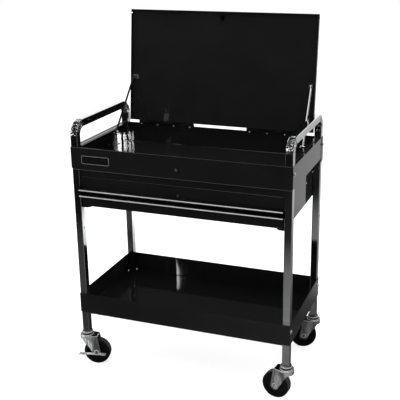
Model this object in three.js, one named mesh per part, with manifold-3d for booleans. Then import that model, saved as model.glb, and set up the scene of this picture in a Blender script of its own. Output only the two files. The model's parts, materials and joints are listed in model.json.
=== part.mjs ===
// A service cart: two square-tube side frames carry a lidded chest with a drawer under it and an
// open tray below, and roll on four swivel casters.
//
// Millimetres, +Z up. X runs to the cart's right, Y from the front to the rear. Everything is laid
// out about the middle of the trays with the floor at zero, and the whole cart is moved at the end
// so that the middle of its footprint is the origin.
import * as THREE from 'three';
import { mergeVertices } from 'three/addons/utils/BufferGeometryUtils.js';
import Module from 'manifold-3d';

const wasm = await Module();
wasm.setup();

// Driving dimensions of the whole cart
const cartWidth = 864; // across the trays
const cartDepth = 456; // over the trays, front to rear
const rimHeight = 912.7; // chest rim above the floor
const handleRise = 96; // top of the side rails above the chest's rim
const lowerRimHeight = 309.4; // rim of the lower tray above the floor
const sheet = 1.2; // steel sheet of trays, housing and lid
const fit = 0.3; // gap left between two pieces that bear on each other
const overrun = 5; // how far a cut runs past the metal that it cuts

// Side frames: one bent square tube each
const tubeSize = 28;
const tubeWall = 1.5;
const tubeCorner = 2;
const tubeBendRadius = 42; // to the tube's centre line
const bendSteps = 4; // half as many as the facets of a bend
const spareHoleDrop = 87; // below the drawer housing
const spareHoleRadius = 3.5;

// Trays
const chestDepth = 87.4; // rim to underside
const lowerTrayDepth = 85.1;
const panBend = 4; // outside radius of the bent bottom edges
const panBendSteps = 2; // half as many as the facets of a bend
const cornerRelief = 5.1; // height of the notch round each leg
const chestFlange = 25; // width of the side walls' turned-in top
const rearWallDrop = 3; // the rear wall stands lower than the rim
const lapDrop = 12.6; // the rear wall's lap hangs below the chest

// Bolts through the tray walls into the legs
const boltRadius = 3;
const boltHeadRadius = 5.8;
const boltHeadHeight = 4;
const boltLength = 12;
const boltBelowRim = 30.5;

// Drawer housing under the chest
const housingHeight = 152.3;
const housingSetback = 8; // behind the front faces of the legs
const housingRearInset = 7; // rear panel in front of the trays' rear faces
const housingFlange = 31; // width of the side panels' turned-in foot
const housingTopFlange = 15;
const flangeChamfer = 9;
const frontRailHeight = 25.3;
const frontRailReach = 25; // how far its lower flange runs back

// Drawer
const drawerGap = 2; // beside and over the front
const drawerFrontHeight = 118;
const drawerFrontReturn = 9;
const drawerBoxHeight = 87;
const drawerBoxLift = 6; // box above the lower edge of the front
const drawerRearRoom = 36.5; // between the box and the rear panel
const drawerBend = 2;

// Slides, one pair each side
const slideWidth = 13; // between housing and drawer box
const slideHeight = 36;
const slideRearRoom = 21; // between the rails and the rear panel
const slideLift = 20; // lower edge above the underside of the box
const slideReach = 5.8; // width of the fixed rail's lips
const slideStart = 8; // rails begin behind the front's rear edge

// Full-width pull: a channel that opens to the front
const pullHeight = 28;
const pullDepth = 21.7;
const pullLip = 4.5;
const pullBack = 2;
const pullDrop = 48; // its top below the drawer front's top

// Locks
const lockOffset = -2; // beside the cart's middle
const lockHeadRadius = 8.5;
const lockHeadHeight = 2.5;
const lockBarrelRadius = 7.5;
const lockBarrelLength = 10;
const lockPlugRadius = 5.5;
const keySlot = 1.2;
const keySlotLength = 7;
const keySlotDepth = 6;
const camLength = 26;
const camWidth = 12;
const camThickness = 2;
const chestLockBelowRim = 51;
const drawerLockBelowTop = 37;

// Name plate, blank
const plateWidth = 115;
const plateHeight = 32;
const plateThickness = 1.5;
const plateCorner = 5;
const plateBelowRim = 30;
const plateInset = 45.3; // from the chest's left edge

// Lid and its hinges
const lidInset = 37; // its ends from the trays' side faces
const lidOverhang = 13.5; // its front edge in front of the chest
const lidStart = 9; // from the hinge pin to the rear edge
const lidSkirt = 15;
const skirtSlotGap = 1.5; // round the chest's front wall
const lidLeanAngle = 6.6; // past vertical when open
const hingeAboveRim = 2;
const hingeLength = 248;
const hingeLeftInset = 36; // from the lid's left end
const hingeRightInset = 30; // from the lid's right end
const hingeKnuckles = 5;
const knuckleRadius = 3;
const hingePinRadius = 1.5;
const leafThickness = 1.2;
const leafDrop = 22; // fixed leaf below the pin's underside
const leafReach = 24; // lid leaf from the pin
const catchWidth = 15;
const catchGap = 1.3; // between its arm and the chest's front wall
const catchBase = 17.5; // length of its foot on the lid
const catchDrop = 22.5; // from the lid's sheet to its hook
const catchHook = 8;
const catchSheet = 1.5;

// Stays: a rod each side from the lid down to a guide on the chest's side wall
const stayPivotAlong = 189; // from the hinge pin along the lid
const stayPivotOut = 20; // in front of the hinge pin, square to the lid
const stayPivotInset = 16; // from the lid's end
const stayFootGap = 11; // from the middle of the foot to the guide
const stayLength = 255;
const stayRadius = 3;
const stayEyeRadius = 6;
const stayAngle = 51.3; // below horizontal with the lid open
const stayPinRadius = 2.5;
const stayPinHead = 4;
const stayFootReach = 10;
const staySplayGap = 0.9; // beside the eye, where the splayed rod turns past the bracket
const bracketSheet = 1.5;
const bracketWidth = 18;
const guideInset = 31; // inboard face from the trays' side faces
const guideHeight = 24;
const guideFrontGap = 3.5; // behind the front legs
const guideFromHinge = 128.5; // its rear end in front of the hinge pins
const guideFoot = 18; // width of the part fixed under the chest's flange
const guideSlotHeight = 8;
const guideSlotDrop = 8;
const guideSlotMargin = 12;

// Casters
const wheelRadius = 53.5;
const wheelWidth = 32;
const wheelHubRadius = 13;
const wheelRimRadius = 39;
const wheelWebInset = 6;
const wheelEdge = 2.5;
const wheelFacets = 32;
const casterTrail = 38.3;
const forkSheet = 2.5;
const forkClearance = 1.3; // beside the wheel
const crownClearance = 17.2; // top of the crown above the wheel
const forkEndRadius = 17;
const forkEndAngle = 194.4; // where a side plate's front edge meets its round end, in degrees
const forkNoseRadius = 29;
const forkNoseDrop = 16;
const forkNoseLip = 5; // the crown's turned-up rim round the nose
const forkFront = -14; // where the side plates start
const forkRear = 44;
const racewayRadius = 22.5;
const racewayHeight = 15.1; // above the crown
const stemPlateRadius = 20;
const stemPlateThickness = 4.3;
const stemRadius = 12;
const stemLength = 44;
const kingpinRadius = 5;
const kingpinHeadRadius = 9;
const kingpinHeadHeight = 3;
const axleRadius = 4;
const axleHeadRadius = 6.5;
const axleHeadHeight = 4;
const roundSteps = 24; // sides of a round piece
const pinSteps = 12; // sides of a small round piece or hole
const curveSteps = 4; // half as many as the facets of a rounded outline
const noseSteps = 8; // the same for the crown's nose
const boltSides = 6;
const frontLeftAngle = 12.4; // each caster's turn about its swivel axis, in degrees
const frontRightAngle = 170.8;
const rearLeftAngle = 17;
const rearRightAngle = 198.6;

// Brake pedal on the front left caster
const pedalSheet = 2;
const pedalHubRadius = 11;
const pedalToe = -71; // from the axle, toward the toe
const pedalToeLength = 30;
const pedalHeel = 37;
const pedalHeelLength = 14;
const pedalHeelRise = 2.5; // heel pad above the toe pad
const pedalPadWidth = 14;
const pedalBelowAxle = 8; // top of the toe pad
const pedalArmHeight = 9;

// Places worked out from the sizes above
const halfWidth = cartWidth / 2;
const halfDepth = cartDepth / 2;
const handleHeight = rimHeight + handleRise;
const forkCrownHeight = wheelRadius + wheelRadius + crownClearance;
const racewayTop = forkCrownHeight + racewayHeight;
const stemPlateTop = racewayTop + fit + stemPlateThickness;
const legFootHeight = stemPlateTop + fit;
const legOuterX = halfWidth - sheet - fit;
const legOuterY = halfDepth - sheet - fit;
const legInnerX = legOuterX - tubeSize;
const legInnerY = legOuterY - tubeSize;
const legCentreX = legOuterX - tubeSize / 2;
const legCentreY = legOuterY - tubeSize / 2;
const chestBottom = rimHeight - chestDepth;
const lowerTrayBottom = lowerRimHeight - lowerTrayDepth;
const housingFront = -(legOuterY - housingSetback);
const housingTop = chestBottom - fit;
const housingBottom = housingTop - housingHeight;
const housingRear = halfDepth - housingRearInset;
const spareHoleHeight = housingBottom - spareHoleDrop;
const housingOuter = legInnerX - fit;
const housingInner = housingOuter - sheet;
const drawerFace = housingFront + fit;
const drawerHalfWidth = housingInner - drawerGap;
const drawerFrontTop = housingTop - frontRailHeight - drawerGap;
const drawerFrontBottom = drawerFrontTop - drawerFrontHeight;
const drawerBoxBottom = drawerFrontBottom + drawerBoxLift;
const drawerBoxFront = drawerFace + sheet + fit;
const drawerBoxRear = housingRear - sheet - drawerRearRoom;
const drawerBoxHalf = housingInner - fit - slideWidth;
const slideBottom = drawerBoxBottom + slideLift;
const slideFront = drawerFace + drawerFrontReturn + slideStart;
const slideRear = housingRear - sheet - slideRearRoom;
const hingeY = halfDepth - sheet - fit - knuckleRadius;
const hingeZ = rimHeight + hingeAboveRim;
const lidLean = THREE.MathUtils.degToRad(lidLeanAngle);
const lidHalf = halfWidth - lidInset;
const frontWallAlong = hingeY + halfDepth - sheet; // the chest's front wall, from the hinge pins
const lidLength = frontWallAlong + sheet + lidOverhang;
const catchArm = frontWallAlong - catchGap - catchSheet;
const catchStart = catchArm - catchBase;
const stayPivotSide = lidHalf - stayPivotInset;
const guideSide = halfWidth - guideInset;
const stayFootSide = guideSide - stayFootGap;
const guideFront = guideFrontGap - legInnerY;
const guideRear = hingeY - guideFromHinge;
const chestLockHeight = rimHeight - chestLockBelowRim;
const drawerLockHeight = drawerFrontTop - drawerLockBelowTop;
const forkHalf = wheelWidth / 2 + forkClearance;
const casterAngles = {
  front_left: frontLeftAngle,
  front_right: frontRightAngle,
  rear_left: rearLeftAngle,
  rear_right: rearRightAngle,
};

// Materials
function finish(color, roughness, metalness) {
  return new THREE.MeshStandardMaterial({ color, roughness, metalness });
}

const chrome = finish(0xc9ccd0, 0.12, 1);
const blackPaint = finish(0x0d0d0e, 0.18, 0);
const zinc = finish(0xa9adb2, 0.35, 1);
const brightSteel = finish(0xd0d2d4, 0.25, 1);
const blackPull = finish(0x141415, 0.4, 0);
const blackRubber = finish(0x19191a, 0.7, 0);
const plateEnamel = finish(0x16130f, 0.3, 0);

// Solids

// A closed solid from any closed three.js geometry, whichever way its faces were wound.
function solid(geometry) {
  const bare = geometry.clone();
  bare.deleteAttribute('normal');
  bare.deleteAttribute('uv');
  const merged = mergeVertices(bare);
  const position = merged.attributes.position;
  const corner = [new THREE.Vector3(), new THREE.Vector3(), new THREE.Vector3()];
  const triangles = [];
  let volume = 0;
  for (let first = 0; first < merged.index.count; first += 3) {
    const face = [0, 1, 2].map((step) => merged.index.getX(first + step));
    if (face[0] === face[1] || face[1] === face[2] || face[2] === face[0]) continue;
    face.forEach((vertex, step) => corner[step].fromBufferAttribute(position, vertex));
    volume += corner[0].dot(corner[1].cross(corner[2]));
    triangles.push(face);
  }
  if (volume < 0) triangles.forEach((face) => face.reverse());
  return new wasm.Manifold(new wasm.Mesh({
    numProp: 3,
    vertProperties: new Float32Array(position.array),
    triVerts: new Uint32Array(triangles.flat()),
  }));
}

function join(first, ...others) {
  return others.reduce((sum, other) => sum.add(other), first);
}

function cut(body, ...tools) {
  return tools.reduce((rest, tool) => rest.subtract(tool), body);
}

function block(x0, x1, y0, y1, z0, z1) {
  const geometry = new THREE.BoxGeometry(x1 - x0, y1 - y0, z1 - z0);
  geometry.translate((x0 + x1) / 2, (y0 + y1) / 2, (z0 + z1) / 2);
  return solid(geometry);
}

// A block given for the right-hand side of the cart, mirrored to the left where side is -1.
function sideBlock(side, x0, x1, y0, y1, z0, z1) {
  return block(Math.min(side * x0, side * x1), Math.max(side * x0, side * x1), y0, y1, z0, z1);
}

// A round bar between two points.
function bar(radius, from, to, steps = roundSteps) {
  const start = new THREE.Vector3(...from);
  const end = new THREE.Vector3(...to);
  const along = end.clone().sub(start);
  const geometry = new THREE.CylinderGeometry(radius, radius, along.length(), steps);
  const turn = new THREE.Quaternion();
  turn.setFromUnitVectors(new THREE.Vector3(0, 1, 0), along.clone().normalize());
  geometry.applyQuaternion(turn);
  const middle = start.add(end).divideScalar(2);
  geometry.translate(middle.x, middle.y, middle.z);
  return solid(geometry);
}

// A solid turned about a vertical axis: the profile lists radius and height, and closes on the axis
// or on itself.
function turned(profile, steps = roundSteps) {
  const geometry = new THREE.LatheGeometry(profile.map(([r, z]) => new THREE.Vector2(r, z)), steps);
  geometry.rotateX(Math.PI / 2);
  return solid(geometry);
}

function outline(points) {
  return new THREE.Shape(points.map(([a, b]) => new THREE.Vector2(a, b)));
}

// An outline in Y and Z, pushed along X from x0 to x1.
function pushX(shape, x0, x1, options = {}) {
  const geometry = new THREE.ExtrudeGeometry(shape, { depth: x1 - x0, bevelEnabled: false, ...options });
  geometry.rotateX(Math.PI / 2);
  geometry.rotateZ(Math.PI / 2);
  geometry.translate(x0, 0, 0);
  return solid(geometry);
}

// An outline in X and Z, pushed along Y from y0 to y1.
function pushY(shape, y0, y1, options = {}) {
  const geometry = new THREE.ExtrudeGeometry(shape, { depth: y1 - y0, bevelEnabled: false, ...options });
  geometry.rotateX(Math.PI / 2);
  geometry.translate(0, y1, 0);
  return solid(geometry);
}

// An outline in X and Y, pushed up from z0 to z1.
function pushZ(shape, z0, z1, options = {}) {
  const geometry = new THREE.ExtrudeGeometry(shape, { depth: z1 - z0, bevelEnabled: false, ...options });
  geometry.translate(0, 0, z0);
  return solid(geometry);
}

function named(name, body, material) {
  const data = body.getMesh();
  const geometry = new THREE.BufferGeometry();
  geometry.setAttribute('position', new THREE.BufferAttribute(new Float32Array(data.vertProperties), 3));
  geometry.setIndex(new THREE.BufferAttribute(new Uint32Array(data.triVerts), 1));
  const mesh = new THREE.Mesh(geometry, material);
  mesh.name = name;
  return mesh;
}

const cart = new THREE.Group();
const sides = { left: -1, right: 1 };
const corners = {
  front_left: [-1, -1],
  front_right: [1, -1],
  rear_left: [-1, 1],
  rear_right: [1, 1],
};

// Side frames

// The frame's outline in Y and Z, drawn in from the tube's faces by inset.
function frameOutline(inset, foot) {
  const outerHalf = legOuterY - inset;
  const innerHalf = legInnerY + inset;
  const top = handleHeight - inset;
  const under = handleHeight - tubeSize + inset;
  const outerRadius = tubeBendRadius + tubeSize / 2 - inset;
  const innerRadius = tubeBendRadius - tubeSize / 2 + inset;
  const straight = legCentreY - tubeBendRadius;
  const shape = new THREE.Shape();
  shape.moveTo(-outerHalf, foot);
  shape.lineTo(-outerHalf, top - outerRadius);
  shape.absarc(-straight, top - outerRadius, outerRadius, Math.PI, Math.PI / 2, true);
  shape.lineTo(straight, top);
  shape.absarc(straight, top - outerRadius, outerRadius, Math.PI / 2, 0, true);
  shape.lineTo(outerHalf, foot);
  shape.lineTo(innerHalf, foot);
  shape.lineTo(innerHalf, under - innerRadius);
  shape.absarc(straight, under - innerRadius, innerRadius, 0, Math.PI / 2, false);
  shape.lineTo(-straight, under);
  shape.absarc(-straight, under - innerRadius, innerRadius, Math.PI / 2, Math.PI, false);
  shape.lineTo(-innerHalf, foot);
  return shape;
}

function frame(side) {
  const centre = side * legCentreX;
  const half = tubeSize / 2;
  const outside = pushX(frameOutline(tubeCorner, legFootHeight - overrun), centre - half + tubeCorner,
    centre + half - tubeCorner, {
      curveSegments: bendSteps,
      bevelEnabled: true,
      bevelThickness: tubeCorner,
      bevelSize: tubeCorner,
      bevelSegments: 1,
    });
  const hollow = pushX(frameOutline(tubeWall, legFootHeight - overrun - overrun),
    centre - half + tubeWall, centre + half - tubeWall, { curveSegments: bendSteps });
  const below = block(centre - tubeSize, centre + tubeSize, -halfDepth, halfDepth, 0, legFootHeight);
  let body = cut(outside, hollow, below);
  const outerFace = side * (legOuterX + overrun);
  const innerFace = side * (legInnerX - overrun);
  for (const y of [-legCentreY, legCentreY]) {
    body = cut(body, bar(spareHoleRadius, [outerFace, y, spareHoleHeight],
      [innerFace, y, spareHoleHeight], pinSteps));
    for (const rim of [rimHeight, lowerRimHeight]) {
      const height = rim - boltBelowRim;
      body = cut(body, bar(boltRadius + fit, [outerFace, y, height],
        [side * (legOuterX - boltLength), y, height], pinSteps));
    }
  }
  return body;
}

for (const [word, side] of Object.entries(sides)) {
  cart.add(named(`frame_${word}`, frame(side), chrome));
}

// Trays

// An outline with two rounded lower corners, reaching half to either side of the middle.
function bentOutline(half, bottom, top, radius) {
  const shape = new THREE.Shape();
  shape.moveTo(-half, top);
  shape.lineTo(-half, bottom + radius);
  shape.absarc(radius - half, bottom + radius, radius, Math.PI, Math.PI * 1.5, false);
  shape.absarc(half - radius, bottom + radius, radius, Math.PI * 1.5, Math.PI * 2, false);
  shape.lineTo(half, top);
  return shape;
}

// A sheet pan, open at the top, with its lower edges bent round.
function pan(x, y0, y1, bottom, top, thickness, bend) {
  const middle = (y0 + y1) / 2;
  const half = (y1 - y0) / 2;
  const steps = { curveSegments: panBendSteps };
  const filled = (inset, height) => {
    const across = pushY(bentOutline(x - inset, bottom + inset, height, bend - inset), y0, y1, steps);
    const along = pushX(bentOutline(half - inset, bottom + inset, height, bend - inset), -x, x, steps);
    return across.intersect(along.translate([0, middle, 0]));
  };
  return filled(0, top).subtract(filled(thickness, top + overrun));
}

// The notches that let the four legs through a tray's floor.
function legNotches(bottom) {
  return Object.values(corners).map(([sx, sy]) => {
    const y = [sy * (legInnerY - fit), sy * (halfDepth + overrun)].sort((a, b) => a - b);
    return sideBlock(sx, legInnerX - fit, halfWidth + overrun, y[0], y[1], bottom - overrun,
      bottom + cornerRelief);
  });
}

// The holes for the tray bolts at a height.
function boltHoles(height) {
  return Object.values(corners).map(([sx, sy]) => bar(boltRadius + fit,
    [sx * (halfWidth + overrun), sy * legCentreY, height],
    [sx * (legOuterX - fit), sy * legCentreY, height], pinSteps));
}

function chestTray() {
  const legSpan = legInnerY - fit;
  let body = pan(halfWidth, -halfDepth, halfDepth, chestBottom, rimHeight, sheet, panBend);
  body = cut(body, block(-halfWidth + sheet, halfWidth - sheet, legSpan, halfDepth + overrun,
    rimHeight - rearWallDrop, rimHeight + overrun));
  body = cut(body, ...legNotches(chestBottom));
  for (const side of Object.values(sides)) {
    const flange = sideBlock(side, halfWidth - chestFlange, halfWidth, -legSpan, legSpan,
      rimHeight - sheet, rimHeight);
    const lap = sideBlock(side, halfWidth, halfWidth + sheet, legInnerY, halfDepth,
      chestBottom - lapDrop, rimHeight - rearWallDrop);
    const lapBack = sideBlock(side, halfWidth - sheet, halfWidth + sheet, halfDepth - sheet, halfDepth,
      chestBottom - lapDrop, rimHeight - rearWallDrop);
    body = join(body, flange, lap, lapBack);
  }
  const lock = bar(lockBarrelRadius + fit, [lockOffset, -halfDepth - overrun, chestLockHeight],
    [lockOffset, -halfDepth + overrun, chestLockHeight]);
  return cut(body, lock, ...boltHoles(rimHeight - boltBelowRim));
}

function lowerTray() {
  const body = pan(halfWidth, -halfDepth, halfDepth, lowerTrayBottom, lowerRimHeight, sheet, panBend);
  return cut(body, ...legNotches(lowerTrayBottom), ...boltHoles(lowerRimHeight - boltBelowRim));
}

cart.add(named('chest_tray', chestTray(), blackPaint));
cart.add(named('lower_tray', lowerTray(), blackPaint));

// Bolts

function trayBolt(side, headSeat) {
  const head = bar(boltHeadRadius, [side * headSeat, 0, 0], [side * (headSeat + boltHeadHeight), 0, 0],
    boltSides);
  const shank = bar(boltRadius, [side * headSeat, 0, 0],
    [side * (legOuterX + fit - boltLength), 0, 0], pinSteps);
  return join(head, shank);
}

for (const [word, [sx, sy]] of Object.entries(corners)) {
  for (const [tray, rim] of [['chest', rimHeight], ['tray', lowerRimHeight]]) {
    const lapped = tray === 'chest' && sy > 0;
    const bolt = named(`${tray}_bolt_${word}`, trayBolt(sx, halfWidth + fit + (lapped ? sheet : 0)), zinc);
    bolt.position.set(0, sy * legCentreY, rim - boltBelowRim);
    cart.add(bolt);
  }
}

// Drawer housing

function housingSide(side) {
  const web = sideBlock(side, housingInner, housingOuter, housingFront, housingRear, housingBottom,
    housingTop);
  const top = sideBlock(side, housingOuter - housingTopFlange, housingOuter,
    housingFront + frontRailReach + fit, housingRear - sheet - fit, housingTop - sheet, housingTop);
  const inner = side * (housingOuter - housingFlange);
  const outer = side * housingOuter;
  const chamfer = side * flangeChamfer;
  const foot = pushZ(outline([
    [outer, housingFront],
    [inner + chamfer, housingFront],
    [inner, housingFront + flangeChamfer],
    [inner, housingRear],
    [outer, housingRear],
  ]), housingBottom, housingBottom + sheet);
  return join(web, top, foot);
}

function housingFrontRail() {
  const half = housingInner - fit;
  const bottom = housingTop - frontRailHeight;
  const web = block(-half, half, housingFront, housingFront + sheet, bottom, housingTop);
  const lower = block(-half, half, housingFront, housingFront + frontRailReach, bottom, bottom + sheet);
  const upper = block(-half, half, housingFront, housingFront + frontRailReach, housingTop - sheet,
    housingTop);
  return join(web, lower, upper);
}

function housingBack() {
  const half = housingInner - fit;
  const clearOfFoot = housingBottom + sheet + fit;
  return block(-half, half, housingRear - sheet, housingRear, clearOfFoot, housingTop);
}

for (const [word, side] of Object.entries(sides)) {
  cart.add(named(`housing_side_${word}`, housingSide(side), blackPaint));
}
cart.add(named('housing_front_rail', housingFrontRail(), blackPaint));
cart.add(named('housing_back', housingBack(), blackPaint));

// Slides: a fixed rail on the housing takes a running rail on the drawer

function fixedRail(side) {
  const outer = housingInner - fit;
  const top = slideBottom + slideHeight;
  const web = sideBlock(side, outer - sheet, outer, slideFront, slideRear, slideBottom, top);
  const lower = sideBlock(side, outer - slideReach, outer, slideFront, slideRear, slideBottom,
    slideBottom + sheet);
  const upper = sideBlock(side, outer - slideReach, outer, slideFront, slideRear, top - sheet, top);
  return join(web, lower, upper);
}

function runningRail(side) {
  const inner = drawerBoxHalf + fit;
  const outer = housingInner - fit - sheet - fit;
  const rear = slideRear - sheet;
  const bottom = slideBottom + sheet + fit;
  const top = slideBottom + slideHeight - sheet - fit;
  const web = sideBlock(side, inner, inner + sheet, slideFront, rear, bottom, top);
  const lower = sideBlock(side, inner, outer, slideFront, rear, bottom, bottom + sheet);
  const upper = sideBlock(side, inner, outer, slideFront, rear, top - sheet, top);
  return join(web, lower, upper);
}

for (const [word, side] of Object.entries(sides)) {
  cart.add(named(`slide_rail_fixed_${word}`, fixedRail(side), zinc));
  cart.add(named(`slide_rail_drawer_${word}`, runningRail(side), zinc));
}

// Drawer

const drawerBox = pan(drawerBoxHalf, drawerBoxFront, drawerBoxRear, drawerBoxBottom,
  drawerBoxBottom + drawerBoxHeight, sheet, drawerBend);

function drawerFront() {
  const full = block(-drawerHalfWidth, drawerHalfWidth, drawerFace, drawerFace + drawerFrontReturn,
    drawerFrontBottom, drawerFrontTop);
  const behind = block(-drawerHalfWidth + sheet, drawerHalfWidth - sheet, drawerFace + sheet,
    drawerFace + drawerFrontReturn + overrun, drawerFrontBottom + sheet, drawerFrontTop - sheet);
  return cut(full, behind);
}

function lockHole(height, face) {
  return bar(lockBarrelRadius + fit, [lockOffset, face - overrun, height],
    [lockOffset, face + sheet + overrun, height]);
}

const drawerLockHole = lockHole(drawerLockHeight, drawerFace);
cart.add(named('drawer_box', cut(drawerBox, drawerLockHole), blackPaint));
cart.add(named('drawer_front', cut(drawerFront(), drawerLockHole), blackPaint));

function pull() {
  const top = drawerFrontTop - pullDrop;
  const bottom = top - pullHeight;
  const back = drawerFace - fit;
  const front = back - pullDepth;
  const half = housingInner;
  return pushX(outline([
    [back, bottom],
    [front, bottom],
    [front, bottom + pullLip],
    [back - pullBack, bottom + pullLip],
    [back - pullBack, top - pullLip],
    [front, top - pullLip],
    [front, top],
    [back, top],
  ]), -half, half);
}

cart.add(named('drawer_pull', pull(), blackPull));

// Locks: a barrel through the panel, and a plug that turns in it with a cam on its rear end. They
// are drawn with the panel's face at zero and the lock's axis along Y.

function lockBarrel() {
  const bore = lockPlugRadius + fit;
  const profile = turned([
    [bore, -lockBarrelLength],
    [lockBarrelRadius, -lockBarrelLength],
    [lockBarrelRadius, fit],
    [lockHeadRadius, fit],
    [lockHeadRadius, fit + lockHeadHeight],
    [bore, fit + lockHeadHeight],
    [bore, -lockBarrelLength],
  ]);
  return profile.rotate([90, 0, 0]);
}

function lockPlug() {
  const face = -fit - lockHeadHeight;
  const rear = lockBarrelLength + fit;
  const plug = bar(lockPlugRadius, [0, face, 0], [0, rear, 0]);
  const cam = block(-lockPlugRadius, camLength, rear, rear + camThickness, -camWidth / 2, camWidth / 2);
  const slot = block(-keySlot / 2, keySlot / 2, face - overrun, face + keySlotDepth,
    -keySlotLength / 2, keySlotLength / 2);
  return cut(join(plug, cam), slot);
}

for (const [word, height, face] of [
  ['chest', chestLockHeight, -halfDepth],
  ['drawer', drawerLockHeight, drawerFace],
]) {
  const place = new THREE.Group();
  place.position.set(lockOffset, face, height);
  place.add(named(`${word}_lock_barrel`, lockBarrel(), brightSteel));
  place.add(named(`${word}_lock_plug`, lockPlug(), brightSteel));
  cart.add(place);
}

// Blank name plate

function namePlate() {
  const x0 = -halfWidth + plateInset;
  const x1 = x0 + plateWidth;
  const z1 = rimHeight - plateBelowRim;
  const z0 = z1 - plateHeight;
  const r = plateCorner;
  const shape = new THREE.Shape();
  shape.absarc(x1 - r, z1 - r, r, 0, Math.PI / 2, false);
  shape.absarc(x0 + r, z1 - r, r, Math.PI / 2, Math.PI, false);
  shape.absarc(x0 + r, z0 + r, r, Math.PI, Math.PI * 1.5, false);
  shape.absarc(x1 - r, z0 + r, r, Math.PI * 1.5, Math.PI * 2, false);
  const back = -halfDepth - fit;
  return pushY(shape, back - plateThickness, back, { curveSegments: panBendSteps });
}

cart.add(named('name_plate', namePlate(), plateEnamel));

// Lid. It is drawn upright: its own Z runs from the hinge pin to the front edge, and its own -Y is
// the side that faces the chest when it is shut.
const lid = new THREE.Group();
lid.position.set(0, hingeY, hingeZ);
lid.rotation.x = -lidLean;
cart.add(lid);

const lidBack = -fit; // outer face of the lid's sheet in the lid's own Y
const lidFace = lidBack - sheet; // inner face
const leafFace = -knuckleRadius; // inner face of the hinge leaf on the lid
const hingeStarts = {
  left: hingeLeftInset - lidHalf,
  right: lidHalf - hingeRightInset - hingeLength,
};

function lidPan() {
  const skirt = lidBack - lidSkirt;
  const full = block(-lidHalf, lidHalf, skirt, lidBack, lidStart, lidLength);
  const inside = block(-lidHalf + sheet, lidHalf - sheet, skirt - overrun, lidFace, lidStart + sheet,
    lidLength - sheet);
  const slots = Object.values(hingeStarts).map((start) => block(start - fit, start + hingeLength + fit,
    leafFace - fit, lidFace, lidStart - overrun, lidStart + sheet + overrun));
  const wallSlots = Object.values(sides).map((side) => sideBlock(side, lidHalf - sheet - overrun,
    lidHalf + overrun, skirt - overrun, lidFace, frontWallAlong - skirtSlotGap,
    frontWallAlong + sheet + skirtSlotGap));
  return cut(full, inside, ...slots, ...wallSlots);
}

lid.add(named('lid_pan', lidPan(), blackPaint));

function lidCatch() {
  const seat = lidFace - fit;
  const hook = lidFace - catchDrop;
  const x0 = -catchWidth / 2;
  const x1 = catchWidth / 2;
  const base = block(x0, x1, seat - catchSheet, seat, catchStart, catchArm + catchSheet);
  const arm = block(x0, x1, hook, seat, catchArm, catchArm + catchSheet);
  const lip = block(x0, x1, hook, hook + catchSheet, catchArm - catchHook, catchArm + catchSheet);
  return join(base, arm, lip);
}

lid.add(named('lid_catch', lidCatch(), zinc));

// Hinges: the fixed leaf has the odd knuckles, the lid's leaf the ones between

function knuckles(start, which) {
  const pitch = hingeLength / hingeKnuckles;
  const list = [];
  for (let place = which; place < hingeKnuckles; place += 2) {
    list.push([start + place * pitch + fit / 2, start + (place + 1) * pitch - fit / 2]);
  }
  return list;
}

function hingeBore(start) {
  return bar(hingePinRadius + fit, [start - overrun, 0, 0], [start + hingeLength + overrun, 0, 0],
    pinSteps);
}

function lidLeaf(start) {
  let body = block(start + fit / 2, start + hingeLength - fit / 2, leafFace, leafFace + leafThickness,
    knuckleRadius + fit, leafReach);
  for (const [x0, x1] of knuckles(start, 1)) {
    const tab = block(x0, x1, leafFace, leafFace + leafThickness, 0, knuckleRadius + fit + fit);
    body = join(body, bar(knuckleRadius, [x0, 0, 0], [x1, 0, 0], pinSteps), tab);
  }
  return cut(body, hingeBore(start));
}

function fixedLeaf(start) {
  const back = knuckleRadius;
  let body = block(start + fit / 2, start + hingeLength - fit / 2, back - leafThickness, back,
    -knuckleRadius - leafDrop, -knuckleRadius - fit);
  for (const [x0, x1] of knuckles(start, 0)) {
    const tab = block(x0, x1, back - leafThickness, back, -knuckleRadius - fit - fit, 0);
    body = join(body, bar(knuckleRadius, [x0, 0, 0], [x1, 0, 0], pinSteps), tab);
  }
  return cut(body, hingeBore(start));
}

for (const [word, start] of Object.entries(hingeStarts)) {
  lid.add(named(`lid_hinge_leaf_${word}`, lidLeaf(start), blackPaint));
  const place = new THREE.Group();
  place.position.set(0, hingeY, hingeZ);
  place.add(named(`hinge_fixed_leaf_${word}`, fixedLeaf(start), blackPaint));
  const pin = bar(hingePinRadius, [start, 0, 0], [start + hingeLength, 0, 0], pinSteps);
  place.add(named(`hinge_pin_${word}`, pin, brightSteel));
  cart.add(place);
}

// Stays

function stayBracket(side) {
  const seat = lidFace - fit;
  const earInner = stayPivotSide + stayRadius + staySplayGap;
  const earOuter = earInner + bracketSheet;
  const z0 = stayPivotAlong - bracketWidth / 2;
  const z1 = stayPivotAlong + bracketWidth / 2;
  const base = sideBlock(side, earInner - bracketWidth, earOuter, seat - bracketSheet, seat, z0, z1);
  const ear = sideBlock(side, earInner, earOuter, -stayPivotOut - stayEyeRadius, seat, z0, z1);
  const pinEnd = stayPivotSide - stayRadius - fit;
  const pin = bar(stayPinRadius, [side * earOuter, -stayPivotOut, stayPivotAlong],
    [side * pinEnd, -stayPivotOut, stayPivotAlong], pinSteps);
  const head = bar(stayPinHead, [side * pinEnd, -stayPivotOut, stayPivotAlong],
    [side * (pinEnd - bracketSheet), -stayPivotOut, stayPivotAlong], pinSteps);
  return join(base, ear, pin, head);
}

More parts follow.
